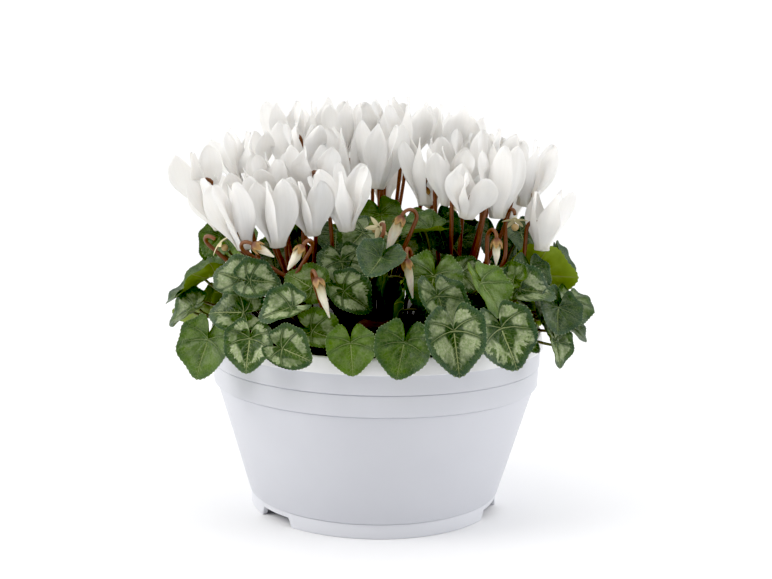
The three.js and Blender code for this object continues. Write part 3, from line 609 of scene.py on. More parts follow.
def bloom_plan(index, move):
    """Everything that a bloom's form is worked out from."""
    x, y, z, opening, length = BLOOMS[index]
    between = draws(index + len(BLOOMS) * move.k)
    nose = np.array([x, y, z]) + move.shift
    lean_x = LEAN_ASIDE * x + between(-0.1, 0.1) + 0.008 * move.turn
    lean_y = LEAN_BACK * y + between(-0.1, 0.1) + 0.008 * move.slope
    plant = nearest(PLANTS, nose)
    flower = nodding(nose, unit(np.array([lean_x, lean_y, 1])), stem_foot(plant, nose, between(8, 14)))
    twist = (1 if between(0, 1) < 0.8 else -1) * between(34, 58)
    lean = between(0, 4) * math.copysign(1, twist)
    petals = []
    for angle in PETAL_ANGLES:
        petals.append(SimpleNamespace(
            angle=angle + between(-3, 3),
            length=length * between(0.93, 1.03),
            half=PETAL_HALF_WIDTH + between(-0.8, 0.8),
            opening=opening * between(0.75, 1.15),
            twist=math.radians(twist + between(-7, 7)),
            cup=between(-0.5, 2),
            lean=lean + between(-1, 1),
        ))
    return SimpleNamespace(plant=plant, flower=flower, petals=petals, bow=move.bow, index=index)


def bud_plan(index, move):
    """Everything that a bud's form is worked out from."""
    x, y, z, way, angle, length, thick = BUDS[index]
    tilt = math.radians(angle + move.slope)
    up = math.sin(tilt) * level(way + 2 * move.turn) + math.cos(tilt) * Z
    nose = np.array([x, y, z]) + move.shift
    plant = nearest(PLANTS, nose)
    flower = nodding(nose, up, stem_foot(plant, nose, 15))
    return SimpleNamespace(plant=plant, flower=flower, length=length, thick=thick, bow=move.bow,
                           index=index)


def leaf_plan(leaf, move):
    """A leaf's own directions and its joint: the face looks along normal, the tip lies along the blade."""
    slope = math.radians(leaf.slope + move.slope)
    turn = math.radians(leaf.turn + 1.5 * move.turn)
    normal = math.sin(slope) * level(leaf.face) + math.cos(slope) * Z
    downhill = math.cos(slope) * level(leaf.face) - math.sin(slope) * Z
    along = math.cos(turn) * downhill + math.sin(turn) * cross(normal, downhill)
    joint = np.array([leaf.x, leaf.y, leaf.z]) + move.shift - BLADE_MIDDLE * leaf.size * along
    return SimpleNamespace(leaf=leaf, size=leaf.size, fold=math.radians(leaf.fold), normal=normal,
                           along=along, across=cross(along, normal), joint=joint, bow=move.bow)


def leaves_of_rings(front):
    """The leaves of the rings, with a seeded scatter, where no front leaf has the place."""
    leaves = []
    for ring, (count, radius, z, slope, size) in enumerate(LEAF_RINGS):
        for i in range(count):
            between = draws(100 * (ring + 1) + i)
            around = 360 * (i + between(-0.2, 0.2) + 0.5 * (ring % 2)) / count
            reach = radius + between(-5, 5)
            x, y, _ = reach * level(around)
            leaf = SimpleNamespace(
                x=x, y=y,
                z=z + between(-6, 6),
                face=around + between(-25, 25),
                slope=slope + between(-10, 12),
                turn=between(-50, 50),
                size=size * between(0.82, 1.08),
                fold=between(6, 20),
                look=RING_LOOKS[int(between(0, len(RING_LOOKS)))],
            )
            gaps = [math.dist((leaf.x, leaf.y, leaf.z), (other.x, other.y, other.z)) for other in front]
            if min(gaps) > RING_ROOM:
                leaves.append(leaf)
    return leaves


# The bowl


def notch_rise(angles):
    """How far each notch lifts the foot's lower edge: its whole height between its slanted sides, which
    go down to nothing in a smooth step."""
    wide = math.asin(NOTCH_WIDTH / 2 / FOOT_RADIUS)
    narrow = math.asin(NOTCH_TOP_WIDTH / 2 / FOOT_RADIUS)
    rise = np.zeros_like(angles)
    for notch in NOTCH_ANGLES:
        away = np.abs((angles - math.radians(notch - 90) + math.pi) % (2 * math.pi) - math.pi)
        rise = np.maximum(rise, NOTCH_HEIGHT * (1 - smooth(narrow, wide, away)))
    return rise


def make_bowl():
    """The bowl: a rounded profile turned round Z, whose lowest rows are squeezed up in the notches."""
    foot = FOOT_RADIUS
    lip = BOWL_HEIGHT - LIP_HEIGHT
    outside = [
        (0, BASE_UNDERSIDE, 0),
        (foot - FOOT_WALL - 1, BASE_UNDERSIDE, 0.5),
        (foot - FOOT_WALL, 0, 0.8),
        (foot, 0, 1),
        (foot + 0.6, STEP_HEIGHT - GROOVE, 0.2),
        (foot, STEP_HEIGHT - 0.3, 0.15),
        (foot + 1.6, STEP_HEIGHT, 0.4),
        (WALL_TOP_RADIUS, BAND_BOTTOM - GROOVE, 0.2),
        (WALL_TOP_RADIUS - 0.5, BAND_BOTTOM, 0.2),
        (BAND_RADIUS, BAND_BOTTOM + 0.6, 0.6),
        (BAND_RADIUS + 0.4, BAND_LINE - GROOVE, 0.2),
        (BAND_RADIUS - 0.4, BAND_LINE - 0.2, 0.15),
        (BAND_RADIUS + 1.2, BAND_LINE + 0.2, 0.4),
        (BAND_RADIUS + 1.2, lip, 0.3),
        (RIM_RADIUS, lip, 0.5),
        (RIM_RADIUS - LIP_BEVEL, BOWL_HEIGHT - 0.6, 1.0),
        (RIM_RADIUS - LIP_BEVEL - 0.8, BOWL_HEIGHT, 0.5),
        (BAND_RADIUS - 1, BOWL_HEIGHT, 0.8),
        (BAND_RADIUS - WALL, BAND_BOTTOM + WALL, 1),
        (WALL_TOP_RADIUS - WALL, BAND_BOTTOM, 1),
        (foot + 1.6 - WALL, BASE_TOP, 1),
        (0, BASE_TOP, 0),
    ]
    profile = rounded(outside)[1:-1]
    notch_edges = [math.radians(notch - 90) + side * math.radians(half)
                   for notch in NOTCH_ANGLES for side in (-1, 1) for half in np.linspace(*NOTCH_SIDE, 13)]
    every = np.concatenate([round_angles(ROUND_STEPS), np.mod(notch_edges, 2 * math.pi)])
    angles = np.unique(np.round(every, 4))
    rings = turned(profile, angles)
    rise = notch_rise(angles)
    outer = np.arange(len(profile)) >= np.argmin(profile[:, 1])
    for ring, (radius, height), is_outer in zip(rings, profile, outer):
        limit = STEP_HEIGHT if is_outer else BASE_UNDERSIDE
        if height < limit and radius < foot + 1:
            ring[:, 2] = rise + height * (limit - rise) / limit
    form = Form(plastic_finish())
    form.sleeve(rings, ends=((0, 0, BASE_UNDERSIDE), (0, 0, BASE_TOP)))
    bowl = form.finish("plastic_bowl", ["bowl"], "bowl", crease=40)
    cut_drain_holes(bowl)


def cut_drain_holes(bowl):
    """Six plain round holes through the bowl's base."""
    form = Form()
    plug = turned([[DRAIN_RADIUS, 1], [DRAIN_RADIUS, 2 * BASE_TOP]], round_angles(24))
    for i in range(DRAIN_HOLES):
        rings = plug + DRAIN_CIRCLE * level(360 * (i + 0.5) / DRAIN_HOLES)
        form.sleeve(rings, ends=(rings[0].mean(0), rings[-1].mean(0)))
    drill = form.shaped("drill", 40)
    cut = bowl.modifiers.new("drain_holes", "BOOLEAN")
    cut.object = drill
    cut.operation = "DIFFERENCE"
    with bpy.context.temp_override(object=bowl, active_object=bowl):
        bpy.ops.object.modifier_apply(modifier=cut.name)
    bpy.data.objects.remove(drill)


# The soil


def make_soil():
    """Potting soil: a level top with seeded lumps, strewn with crumbs, that slopes down to the bowl."""
    angles = round_angles(ROUND_STEPS)
    edge = BAND_RADIUS - WALL - GAP
    under = [
        (0, BASE_TOP + GAP, 0),
        (FOOT_RADIUS + 1.2 - WALL - GAP, BASE_TOP + GAP, 0),
        (WALL_TOP_RADIUS - WALL - GAP - 0.2, BAND_BOTTOM, 0),
        (edge, BAND_BOTTOM + WALL + GAP, 0),
        (edge, SOIL_EDGE - 1, 0),
        (0, SOIL_EDGE, 0),
    ]
    sides = turned(rounded(under)[1:-1], angles)
    radius = np.linspace(edge, 2, SOIL_ROWS)
    height = np.interp(radius, [SOIL_FLAT, edge], [SOIL_TOP, SOIL_EDGE])
    top = turned(np.stack([radius, height], -1), angles)
    calm = smooth(0, 4, edge - radius)[:, None]
    rough = 0.9 * lumps(top, 16, 1) + 0.7 * lumps(top, 5.5, 2) + 0.35 * lumps(top, 2.6, 3)
    top[..., 2] += calm * rough - SOIL_SLUMP
    form = Form(soil_finish())
    form.sleeve(np.concatenate([sides, top]), ends=((0, 0, BASE_TOP + GAP), (0, 0, SOIL_TOP - SOIL_SLUMP)))
    add_crumbs(form)
    form.finish("potting_soil", ["soil"], "soil")


def add_crumbs(form):
    """Crumbs: small uneven balls of three rings of six points, turned, stretched and strewn by seeded
    draws, and half sunk in the soil."""
    rng = np.random.default_rng(CRUMB_SEED)
    ball = turned([[0.75, -0.6], [1, 0], [0.7, 0.65]], round_angles(6))
    for _ in range(CRUMBS):
        reach = CRUMB_CIRCLE * math.sqrt(rng.uniform(0, 1))
        place = reach * level(rng.uniform(0, 360))
        ground = np.interp(reach, [SOIL_FLAT, CRUMB_SLOPE_END], [SOIL_TOP, SOIL_EDGE])
        place[2] = ground + rng.uniform(-0.5, 0.4)
        size = rng.uniform(0.5, 1) ** 2 * CRUMB_SIZE
        stretch = rng.uniform(0.6, 1.3, 3) * size
        turn = np.linalg.qr(rng.normal(size=(3, 3)))[0]
        turn = turn * np.sign(np.linalg.det(turn))
        bumpy = ball * rng.uniform(0.8, 1.15, ball.shape[:2])[..., None]
        rings = (bumpy * stretch) @ turn.T + place
        poles = (np.array([[0, 0, -1], [0, 0, 1]]) * stretch) @ turn.T + place
        form.sleeve(rings, ends=poles)


# Flowers


def petal_width(share, point):
    """Half a petal's width at a share of its length, against its widest: a sine squared up to the widest
    place, then down to the tip as 1 - t^2 to a power, from round at a point of 0 to pointed at 1."""
    rising = 0.34 + 0.66 * np.sin(math.pi / 2 * share / PETAL_WIDEST) ** 2
    past = (share - PETAL_WIDEST) / (1 - PETAL_WIDEST)
    closing = np.maximum(0, 1 - past ** 2) ** (0.5 + 0.35 * point)
    return np.where(share < PETAL_WIDEST, rising, closing)


def petal_points(flower, petal, along, across, off):
    """Points of a petal. It rises straight from the mouth, then flares and opens as along^1.5. Its cross
    section turns with its length, cups by across squared, and off is the distance from its middle face."""
    around = math.radians(petal.angle)
    out = flower.stemward * math.cos(around) + flower.across * math.sin(around)
    aside = cross(flower.up, out)
    height = 1 + (petal.length - 1) * (0.85 * along + 0.15 * along ** 2)
    radius = MOUTH_RADIUS - 0.5 + 4.8 * smooth(0.02, 0.55, along) + petal.opening * along ** 1.5
    twist = petal.twist * along + petal.turn * smooth(0.3, 1, along)
    half = 1.06 * petal.half * petal_width(along, petal.point) * across
    lift = off - petal.cup * across ** 2 * along
    outward = radius + half * np.sin(twist) + lift * np.cos(twist)
    sway = petal.lean * along ** 2 + petal.sway * np.sin(math.pi * along)
    sideways = sway + half * np.cos(twist) - lift * np.sin(twist)
    return flower.nose + spread(flower.up, height, out, outward, aside, sideways)


def add_petal(form, flower, petal, between, look):
    """A petal as a flattened tube: a ring for each share of its length runs over its outer face and back
    over its inner one. Its edges ripple, one rolls out and the other in, and its middle is thicker."""
    side = np.sin(np.linspace(-math.pi / 2, math.pi / 2, PETAL_COLUMNS))
    across = np.concatenate([side, side[-2:0:-1]])
    face = np.where(np.arange(len(across)) < PETAL_COLUMNS, 1, -1)
    step = np.linspace(0, 1, PETAL_ROWS)[:, None]
    along = 0.992 * step * (1.35 - 0.35 * step ** 2) + 0 * across
    across = across + 0 * along
    petal.turn = math.copysign(math.radians(between(0, 50)), petal.twist)
    petal.point = between(0, 1)
    petal.sway = between(-2, 2)
    body = np.sin(math.pi * along)
    ripple = between(0.6, 1.7) * np.sin(along * between(5, 10) + between(0, 6) + 1.5 * across)
    folds = between(0.3, 0.9) * np.sin(across * between(2.5, 4.5) + between(0, 6)) * body
    furrow = -0.4 * np.exp(-(across / 0.2) ** 2) * body
    flick = between(-1.5, 4.5) * smooth(0.55, 1, along) ** 2
    rolled_out = between(0.5, 3.5) * smooth(0.3, 1, across) ** 2
    rolled_in = between(0.5, 3) * smooth(0.3, 1, -across) ** 2
    thick = (0.2 + 0.3 * (1 - across ** 2)) * (1 - 0.5 * along)
    off = face * thick * (np.abs(across) < 0.999) + ripple * across ** 2 * along + folds + furrow + flick
    off = off + math.copysign(1, petal.twist) * (rolled_out - rolled_in) * body
    rings = petal_points(flower, petal, along, across, off)
    place = np.stack([across, along, 0 * along + between(0, 1)], -1)
    base = petal_points(flower, petal, np.zeros(1), np.zeros(1), np.zeros(1))[0]
    tip = petal_points(flower, petal, np.ones(1), np.zeros(1), off[-1, :1])[0]
    form.sleeve(rings, place=place, look=look, ends=(base, tip))


def round_flower(flower, profile, sides, bumps=0):
    """Rings of a profile of [radius, height] points round a flower's own axis, going up. bumps adds to
    the radius of every ring's points."""
    radius, height = np.asarray(profile, float).T
    angles = round_angles(sides)
    reach = radius[:, None] + np.zeros(sides) + bumps
    return flower.nose + spread(flower.up, height)[:, None] + spread(
        flower.stemward, reach * np.cos(angles), flower.across, reach * np.sin(angles))


def make_bloom(plan):
    """A bloom: a short hollow tube with a rolled mouth, and five petals swept up from it."""
    flower = plan.flower
    between = draws(BLOOM_SEED + plan.index)
    look = (between(0, 1), 0, 0, 0)
    form = Form(petal_finish(), throat_finish())
    inside = [(1.6, 5.5), (3.2, 4.6), (4, 2), (4.3, 0.7)]
    outside = [(4.9, 0.1), (5.5, 0.3), (MOUTH_RADIUS, 1.2), (5.4, 4.5), (4.6, 7.5),
               (TUBE_TOP_RADIUS, TUBE_LENGTH)]
    lobes = 0.45 * np.cos(5 * (round_angles(TUBE_SIDES) - math.radians(PETAL_ANGLES[2])))
    lobed = np.array([0, 0.5, 1, 1, 1, 1, 1, 0.5, 0, 0])[:, None]
    rings = round_flower(flower, inside + outside, TUBE_SIDES, lobed * lobes)
    finish = [1] * len(inside) + [0] * (len(outside) - 1)
    form.sleeve(rings, finish=finish, look=look,
                ends=(flower.nose + 5.6 * flower.up, flower.nose + TUBE_LENGTH * flower.up))
    for petal in plan.petals:
        add_petal(form, flower, petal, between, look)
    name = f"bloom_{plan.index + 1}"
    form.finish(f"white_{name}", [name], "petal", crease=75)


def stem_path(flower, calyx, bow):
    """A flower stem's points: a cubic curve from its foot up past the flower's side, then half a circle
    over to the calyx."""
    up, stemward = flower.up, flower.stemward
    aside = flower.nose + 2 * HOOK_RADIUS * stemward + (calyx - TUBE_LENGTH - STEM_DROP) * up
    rise = math.dist(aside, flower.foot)
    lean = flower.foot + 0.45 * rise * Z + bow * cross(stemward, up)
    route = cubic(flower.foot, lean, aside - 0.35 * rise * up, aside, STALK_STEPS)
    centre = flower.nose + (calyx + CALYX_LENGTH) * up + HOOK_RADIUS * stemward
    turn = np.linspace(0, math.pi, HOOK_STEPS + 1)
    hook = centre + HOOK_RADIUS * spread(stemward, np.cos(turn), up, np.sin(turn))
    return np.concatenate([route, hook])


def add_stem(form, plan, calyx):
    """A flower stem, a little thinner and paler towards its top."""
    path = stem_path(plan.flower, calyx, plan.bow)
    share = np.linspace(0, 1, len(path))
    rings = rings_along(path, STEM_RADIUS * (1.25 - 0.3 * share), plan.flower.across, STALK_SIDES)
    form.sleeve(rings, finish=1, place=places_along(rings, share), ends=(path[0], path[-1]))


def add_calyx(form, flower, calyx, length, look):
    """A calyx: a cap that widens from the stem and ends in five pointed lobes laid along the tube. It is
    a closed shell, its inner face 0.25 mm inside the outer one."""
    angles = round_angles(CALYX_SIDES)
    lobe = np.abs((5 * np.arange(CALYX_SIDES) / CALYX_SIDES) % 1 - 0.5) * 2
    share = np.linspace(0, 1, 9)[:, None]
    radius = 1.3 + (CALYX_RADIUS + 0.35 - 1.3) * np.sin(math.pi / 2 * np.minimum(1, 1.35 * share)) ** 0.9
    radius = radius + 0.5 * smooth(0.6, 1, share) + 0 * lobe
    height = calyx + CALYX_LENGTH - share * (CALYX_LENGTH + length * lobe ** 0.8)
    inner, outer = [
        flower.nose + spread(flower.up, height + lift, flower.stemward, (radius - wall) * np.cos(angles),
                             flower.across, (radius - wall) * np.sin(angles))
        for lift, wall in ((0.05, 0.25), (0, 0))
    ]
    rings = np.concatenate([inner, outer[::-1]])
    top = flower.nose + (calyx + CALYX_LENGTH) * flower.up
    place = places_along(rings, np.concatenate([share, share[::-1]]))
    form.sleeve(rings, finish=2, place=place, look=look, ends=(top - 0.3 * flower.up, top))


def add_spindle(form, plan, between):
    """A furled bud: a spindle whose five rolled petals show as ridges that wind round it."""
    share = np.linspace(0.02, 1, BUD_ROWS)
    widths = [0.3, 0.7 * plan.thick, plan.thick, 0.8 * CALYX_RADIUS]
    radius = np.interp(share, [0, 0.35, 0.7, 1], widths)
    radius = np.convolve(np.pad(radius, 3, mode="edge"), np.ones(7) / 7, mode="valid")
    wind = between(2.5, 4) * math.pi * share[:, None]
    ridges = 0.1 * radius[:, None] * np.cos(5 * round_angles(BUD_SIDES) + wind)
    profile = np.stack([radius, share * plan.length], -1)
    rings = round_flower(plan.flower, profile, BUD_SIDES, ridges)
    form.sleeve(rings, finish=3, place=places_along(rings, share), look=(between(0, 1), 0, 0, 0),
                ends=(plan.flower.nose, plan.flower.nose + plan.length * plan.flower.up))


def add_star(form, plan):
    """A spent flower: the five sepals stand out as a small star round a ball of seed."""
    flower, radius = plan.flower, 0.9 * plan.thick
    angle = np.linspace(-math.pi / 2, math.pi / 2, 9)[1:-1]
    ball = np.stack([radius * np.cos(angle), 0.45 * plan.length + radius * np.sin(angle)], -1)
    middle = flower.nose + 0.45 * plan.length * flower.up
    form.sleeve(round_flower(flower, ball, 16), finish=2, place=(0, 0.8, 0), look=(0.65, 0, 0, 0),
                ends=(middle - radius * flower.up, middle + radius * flower.up))
    side = np.array([-1, -0.5, 0, 0.5, 1, 0.5, 0, -0.5])
    face = np.array([0, 1, 1, 1, 0, -1, -1, -1])
    for i in range(5):
        around = SEPAL_ANGLE * i
        out = math.cos(around) * flower.stemward + math.sin(around) * flower.across
        aside = cross(flower.up, out)
        share = np.linspace(0, 0.96, 8)[:, None]
        width = 2.0 * np.sin(math.pi * (0.22 + 0.78 * share)) ** 0.8
        reach = 1 + 9.5 * share + 0 * side
        height = plan.length - 1 - 2.2 * share ** 2 + 0.25 * face + 0.9 * (1 - np.abs(side)) * (1 - share)
        rings = flower.nose + spread(flower.up, height, out, reach, aside, width * side)
        tip = flower.nose + (plan.length - 3.2) * flower.up + 10.5 * out
        form.sleeve(rings, finish=2, look=(1, 0, 0, 0), ends=(rings[0].mean(0), tip))


def add_corm(form, plant):
    """A corm: a flattened ball with a lumpy, wrinkled skin."""
    angle = np.linspace(-math.pi / 2, math.pi / 2, 22)[1:-1]
    height = np.where(angle < 0, CORM_DEPTH, CORM_RISE) * np.sin(angle)
    profile = np.stack([CORM_RADIUS * np.cos(angle) ** 0.8 - 0.8, height], -1)
    rings = turned(profile, round_angles(64))
    rings *= 1 + 0.02 * lumps(rings, 11, 21)[..., None] + 0.012 * lumps(rings, 4, 22)[..., None]
    middle = np.array([plant.x, plant.y, CORM_MIDDLE])
    form.sleeve(rings + middle, finish=0, ends=(middle - CORM_DEPTH * Z, middle + CORM_RISE * Z))


def make_flower_stems(plant, blooms, buds):
    """A plant's corm with all that stands on it but its blooms: stems, calyces, buds and spent flowers."""
    form = Form(corm_finish(), stem_finish(), calyx_finish(), bud_finish())
    add_corm(form, plant)
    for plan in blooms:
        mouth = TUBE_LENGTH + GAP
        add_stem(form, plan, mouth)
        add_calyx(form, plan.flower, mouth, 3, (0.35, 0, 0, 0))
    for plan in buds:
        between = draws(BUD_SEED + plan.index)
        add_stem(form, plan, plan.length)
        if plan.length <= STAR_LENGTH:
            add_star(form, plan)
        else:
            add_spindle(form, plan, between)
            add_calyx(form, plan.flower, plan.length, 4.5, (between(0, 0.4), 0, 0, 0))
    node = f"corm_and_flower_stems_{plant.name}"
    form.finish(f"{plant.name}_corm_and_stems", [node], "stem", crease=60)


# Leaves


def heart(angle):
    """How far a heart-shaped blade reaches from its joint, as a share of its length, at an angle in
    degrees from the tip: a soft cosine outline, a pointed tip, a deep notch at the back and slow waves."""
    phi = np.radians(angle)
    from_sinus = 180 - np.abs(np.where(angle > 180, 360 - angle, angle))
    tip = 0.09 * np.exp(-((180 - from_sinus) / 22) ** 2)
    sinus = 0.48 * np.exp(-(from_sinus / 14) ** 2)
    return (0.68 + 0.12 * np.cos(phi) + tip - sinus) * (1 + 0.02 * np.cos(RIM_WAVES * phi))


def blade_points(plan, across, along, off, rim, soft=0.0):
    """Points of a blade, across and along in millimetres from the joint. The sides fold up along the
    midrib, softly within soft millimetres of it, the tip curls down, and the rim waves."""
    curl = (0.14 * np.maximum(along, 0) ** 2 + 0.2 * np.minimum(along, 0) ** 2) / plan.size
    wave = 0.035 * plan.size * np.cos(RIM_WAVES * np.arctan2(across, along)) * rim
    rise = (np.sqrt(across ** 2 + soft ** 2) - soft) * math.sin(plan.fold)
    return plan.joint + spread(plan.across, across * math.cos(plan.fold), plan.along, along,
                               plan.normal, rise - curl + wave + off)


def petiole_path(plan, root):
    """A petiole's points, from the underside of the blade down into the spray's root."""
    top = blade_points(plan, 0.0, PETIOLE_JOINT * plan.size, -BLADE_THICKNESS / 2, 0)
    toward = unit(np.array([top[0] - root.x, top[1] - root.y, 0]))
    outward = level(root.outward)
    fan = FOOT_FAN * math.atan2(cross(outward, toward)[2], outward @ toward)
    foot = np.array([root.x, root.y, ROOT_TOP - 2]) + FOOT_CIRCLE * level(root.outward + math.degrees(fan))
    span = math.dist(top, foot)
    sideways = cross(Z, toward)
    under = top - 0.3 * span * plan.normal - 0.12 * span * plan.along
    rising = foot + 0.4 * span * Z + plan.bow * sideways
    return cubic(top, under, rising, foot, STALK_STEPS)


def vein_depth(turn, share, reach):
    """How deep the main veins lie: a narrow trough along each of the curves that leave the joint at their
    own angle and bend towards the tip, on either side."""
    depth = np.zeros_like(reach)
    for start in VEIN_ANGLES:
        distance = np.abs(turn - start * (1 - VEIN_BEND * share)) * reach
        depth += np.exp(-(distance / 1.3) ** 2)
    return np.minimum(depth, 1) * smooth(0, 0.2, share) * (1 - 0.7 * share)


def add_blade(form, plan, look):
    """A blade: rings of points out to a finely toothed rim, over the upper face and back under it. Its
    face is quilted and sunk along the veins. Its back lobes rise, its rim sways twice, its sides cup and
    its tip droops, each by a seeded height."""
    angle = 360 * np.arange(BLADE_COLUMNS) / BLADE_COLUMNS
    phi = np.radians(angle)
    turn = np.minimum(phi, 2 * math.pi - phi)
    shares = np.array(BLADE_RINGS)[:, None]
    reach = heart(angle) * plan.size * shares
    teeth = np.where(np.arange(BLADE_COLUMNS) % 2 == 1, 0.022, 0) * plan.size * smooth(0.9, 1, shares)
    reach = reach - teeth * (np.abs(turn - math.pi) > 0.3)
    across, along = reach * np.sin(phi), reach * np.cos(phi)
    quilt = np.sin(reach / 2.1 + 3 * look[0]) * np.sin(RIM_WAVES * turn + reach / 5)
    relief = 0.3 - 0.9 * vein_depth(turn, shares, reach) + 0.5 * quilt * 4 * shares * (1 - shares)
    thick = 0.12 + 0.4 * (1 - shares ** 2)
    between = draws(BLADE_SEED + int(abs(plan.joint[0] * 31 + plan.joint[2] * 17)))
    lobes = between(1, 5.5) * smooth(1.5, 2.7, turn) * shares ** 2
    sway = between(-2.4, 2.4) * np.sin(2 * phi + between(0, 6)) * shares ** 2
    dish = between(0.5, 4.5) * np.sin(turn) ** 2 * shares ** 3
    droop = between(0, 2.5) * np.exp(-(turn / 0.5) ** 2) * shares ** 4
    relief = relief + lobes + sway + dish - droop
    green = look[0] + between(-0.12, 0.12)
    band = look[1] * between(0.65, 1.1)
    look = (green, band, look[2] + between(-0.2, 0.2), look[3])
    upper = blade_points(plan, across, along, relief + thick, shares ** 3, 2.0)
    lower = blade_points(plan, across, along, relief - thick, shares ** 3, 2.0)
    rings = np.concatenate([upper, lower[-2::-1]])
    place = np.stack([turn + 0 * reach, shares + 0 * reach, reach / plan.size], -1)
    place = np.concatenate([place, place[-2::-1]])
    count = len(BLADE_RINGS) - 1
    middle = [blade_points(plan, 0.0, 0.0, side * 0.5, 0, 2.0) for side in (1, -1)]
    form.sleeve(rings, finish=[0] * count + [1] * count, place=place, look=look, ends=middle)


def make_spray(root, plans):
    """A spray: its leaves, their petioles, and the stump from which they grow."""
    form = Form(blade_finish(), underside_finish(), petiole_finish())
    for plan in plans:
        add_blade(form, plan, LOOKS[plan.leaf.look])
        path = petiole_path(plan, root)
        share = np.linspace(0, 1, len(path))
        rings = rings_along(path, PETIOLE_RADIUS * (0.75 + 0.3 * share), plan.along, STALK_SIDES)
        form.sleeve(rings, finish=2, place=places_along(rings, 1 - share), ends=(path[0], path[-1]))
    radius = ROOT_RADIUS
    stump = [(0.8 * radius, ROOT_BOTTOM), (0.95 * radius, ROOT_BOTTOM + 4), (radius, ROOT_TOP - 4),
             (0.95 * radius, ROOT_TOP - 1.5), (0.6 * radius, ROOT_TOP)]
    middle = np.array([root.x, root.y, 0])
    rings = turned(stump, round_angles(24))
    rings[..., :2] *= 1 - 0.05 * np.abs(lumps(rings, 3, 31))[..., None]
    form.sleeve(rings + middle, finish=2, ends=(middle + ROOT_BOTTOM * Z, middle + ROOT_TOP * Z))
    form.finish(root.name.replace("leaf_spray", "leaves"), [root.name], "leaf", crease=60)


# Finishes


class Signal:
    """A number on its way through a finish's nodes. Sums and products of signals add Math nodes."""

    def __init__(self, finish, socket):
        self.finish = finish
        self.socket = socket

    def math(self, operation, *values):
        return self.finish.node("ShaderNodeMath", {"operation": operation}, dict(enumerate(values)))

    def __add__(self, other):
        return self.math("ADD", self, other)

    __radd__ = __add__

    def __sub__(self, other):
        return self.math("SUBTRACT", self, other)

    def __rsub__(self, other):
        return self.math("SUBTRACT", other, self)

    def __mul__(self, other):
        return self.math("MULTIPLY", self, other)

    __rmul__ = __mul__

    def __truediv__(self, other):
        return self.math("DIVIDE", self, other)

    def __abs__(self):
        return self.math("ABSOLUTE", self)

    def largest(self, other):
        return self.math("MAXIMUM", self, other)

    def smallest(self, other):
        return self.math("MINIMUM", self, other)

    def folded(self, length):
        """The distance from the nearest whole multiple of twice the length."""
        return self.math("PINGPONG", self, length)

    def step(self, low, high):
        """A smooth step from 0 at low to 1 at high, or from 1 down to 0 where low is above high."""
        settings = {"interpolation_type": "SMOOTHSTEP"}
        inputs = {"Value": self, "From Min": low, "From Max": high}
        return self.finish.node("ShaderNodeMapRange", settings, inputs)


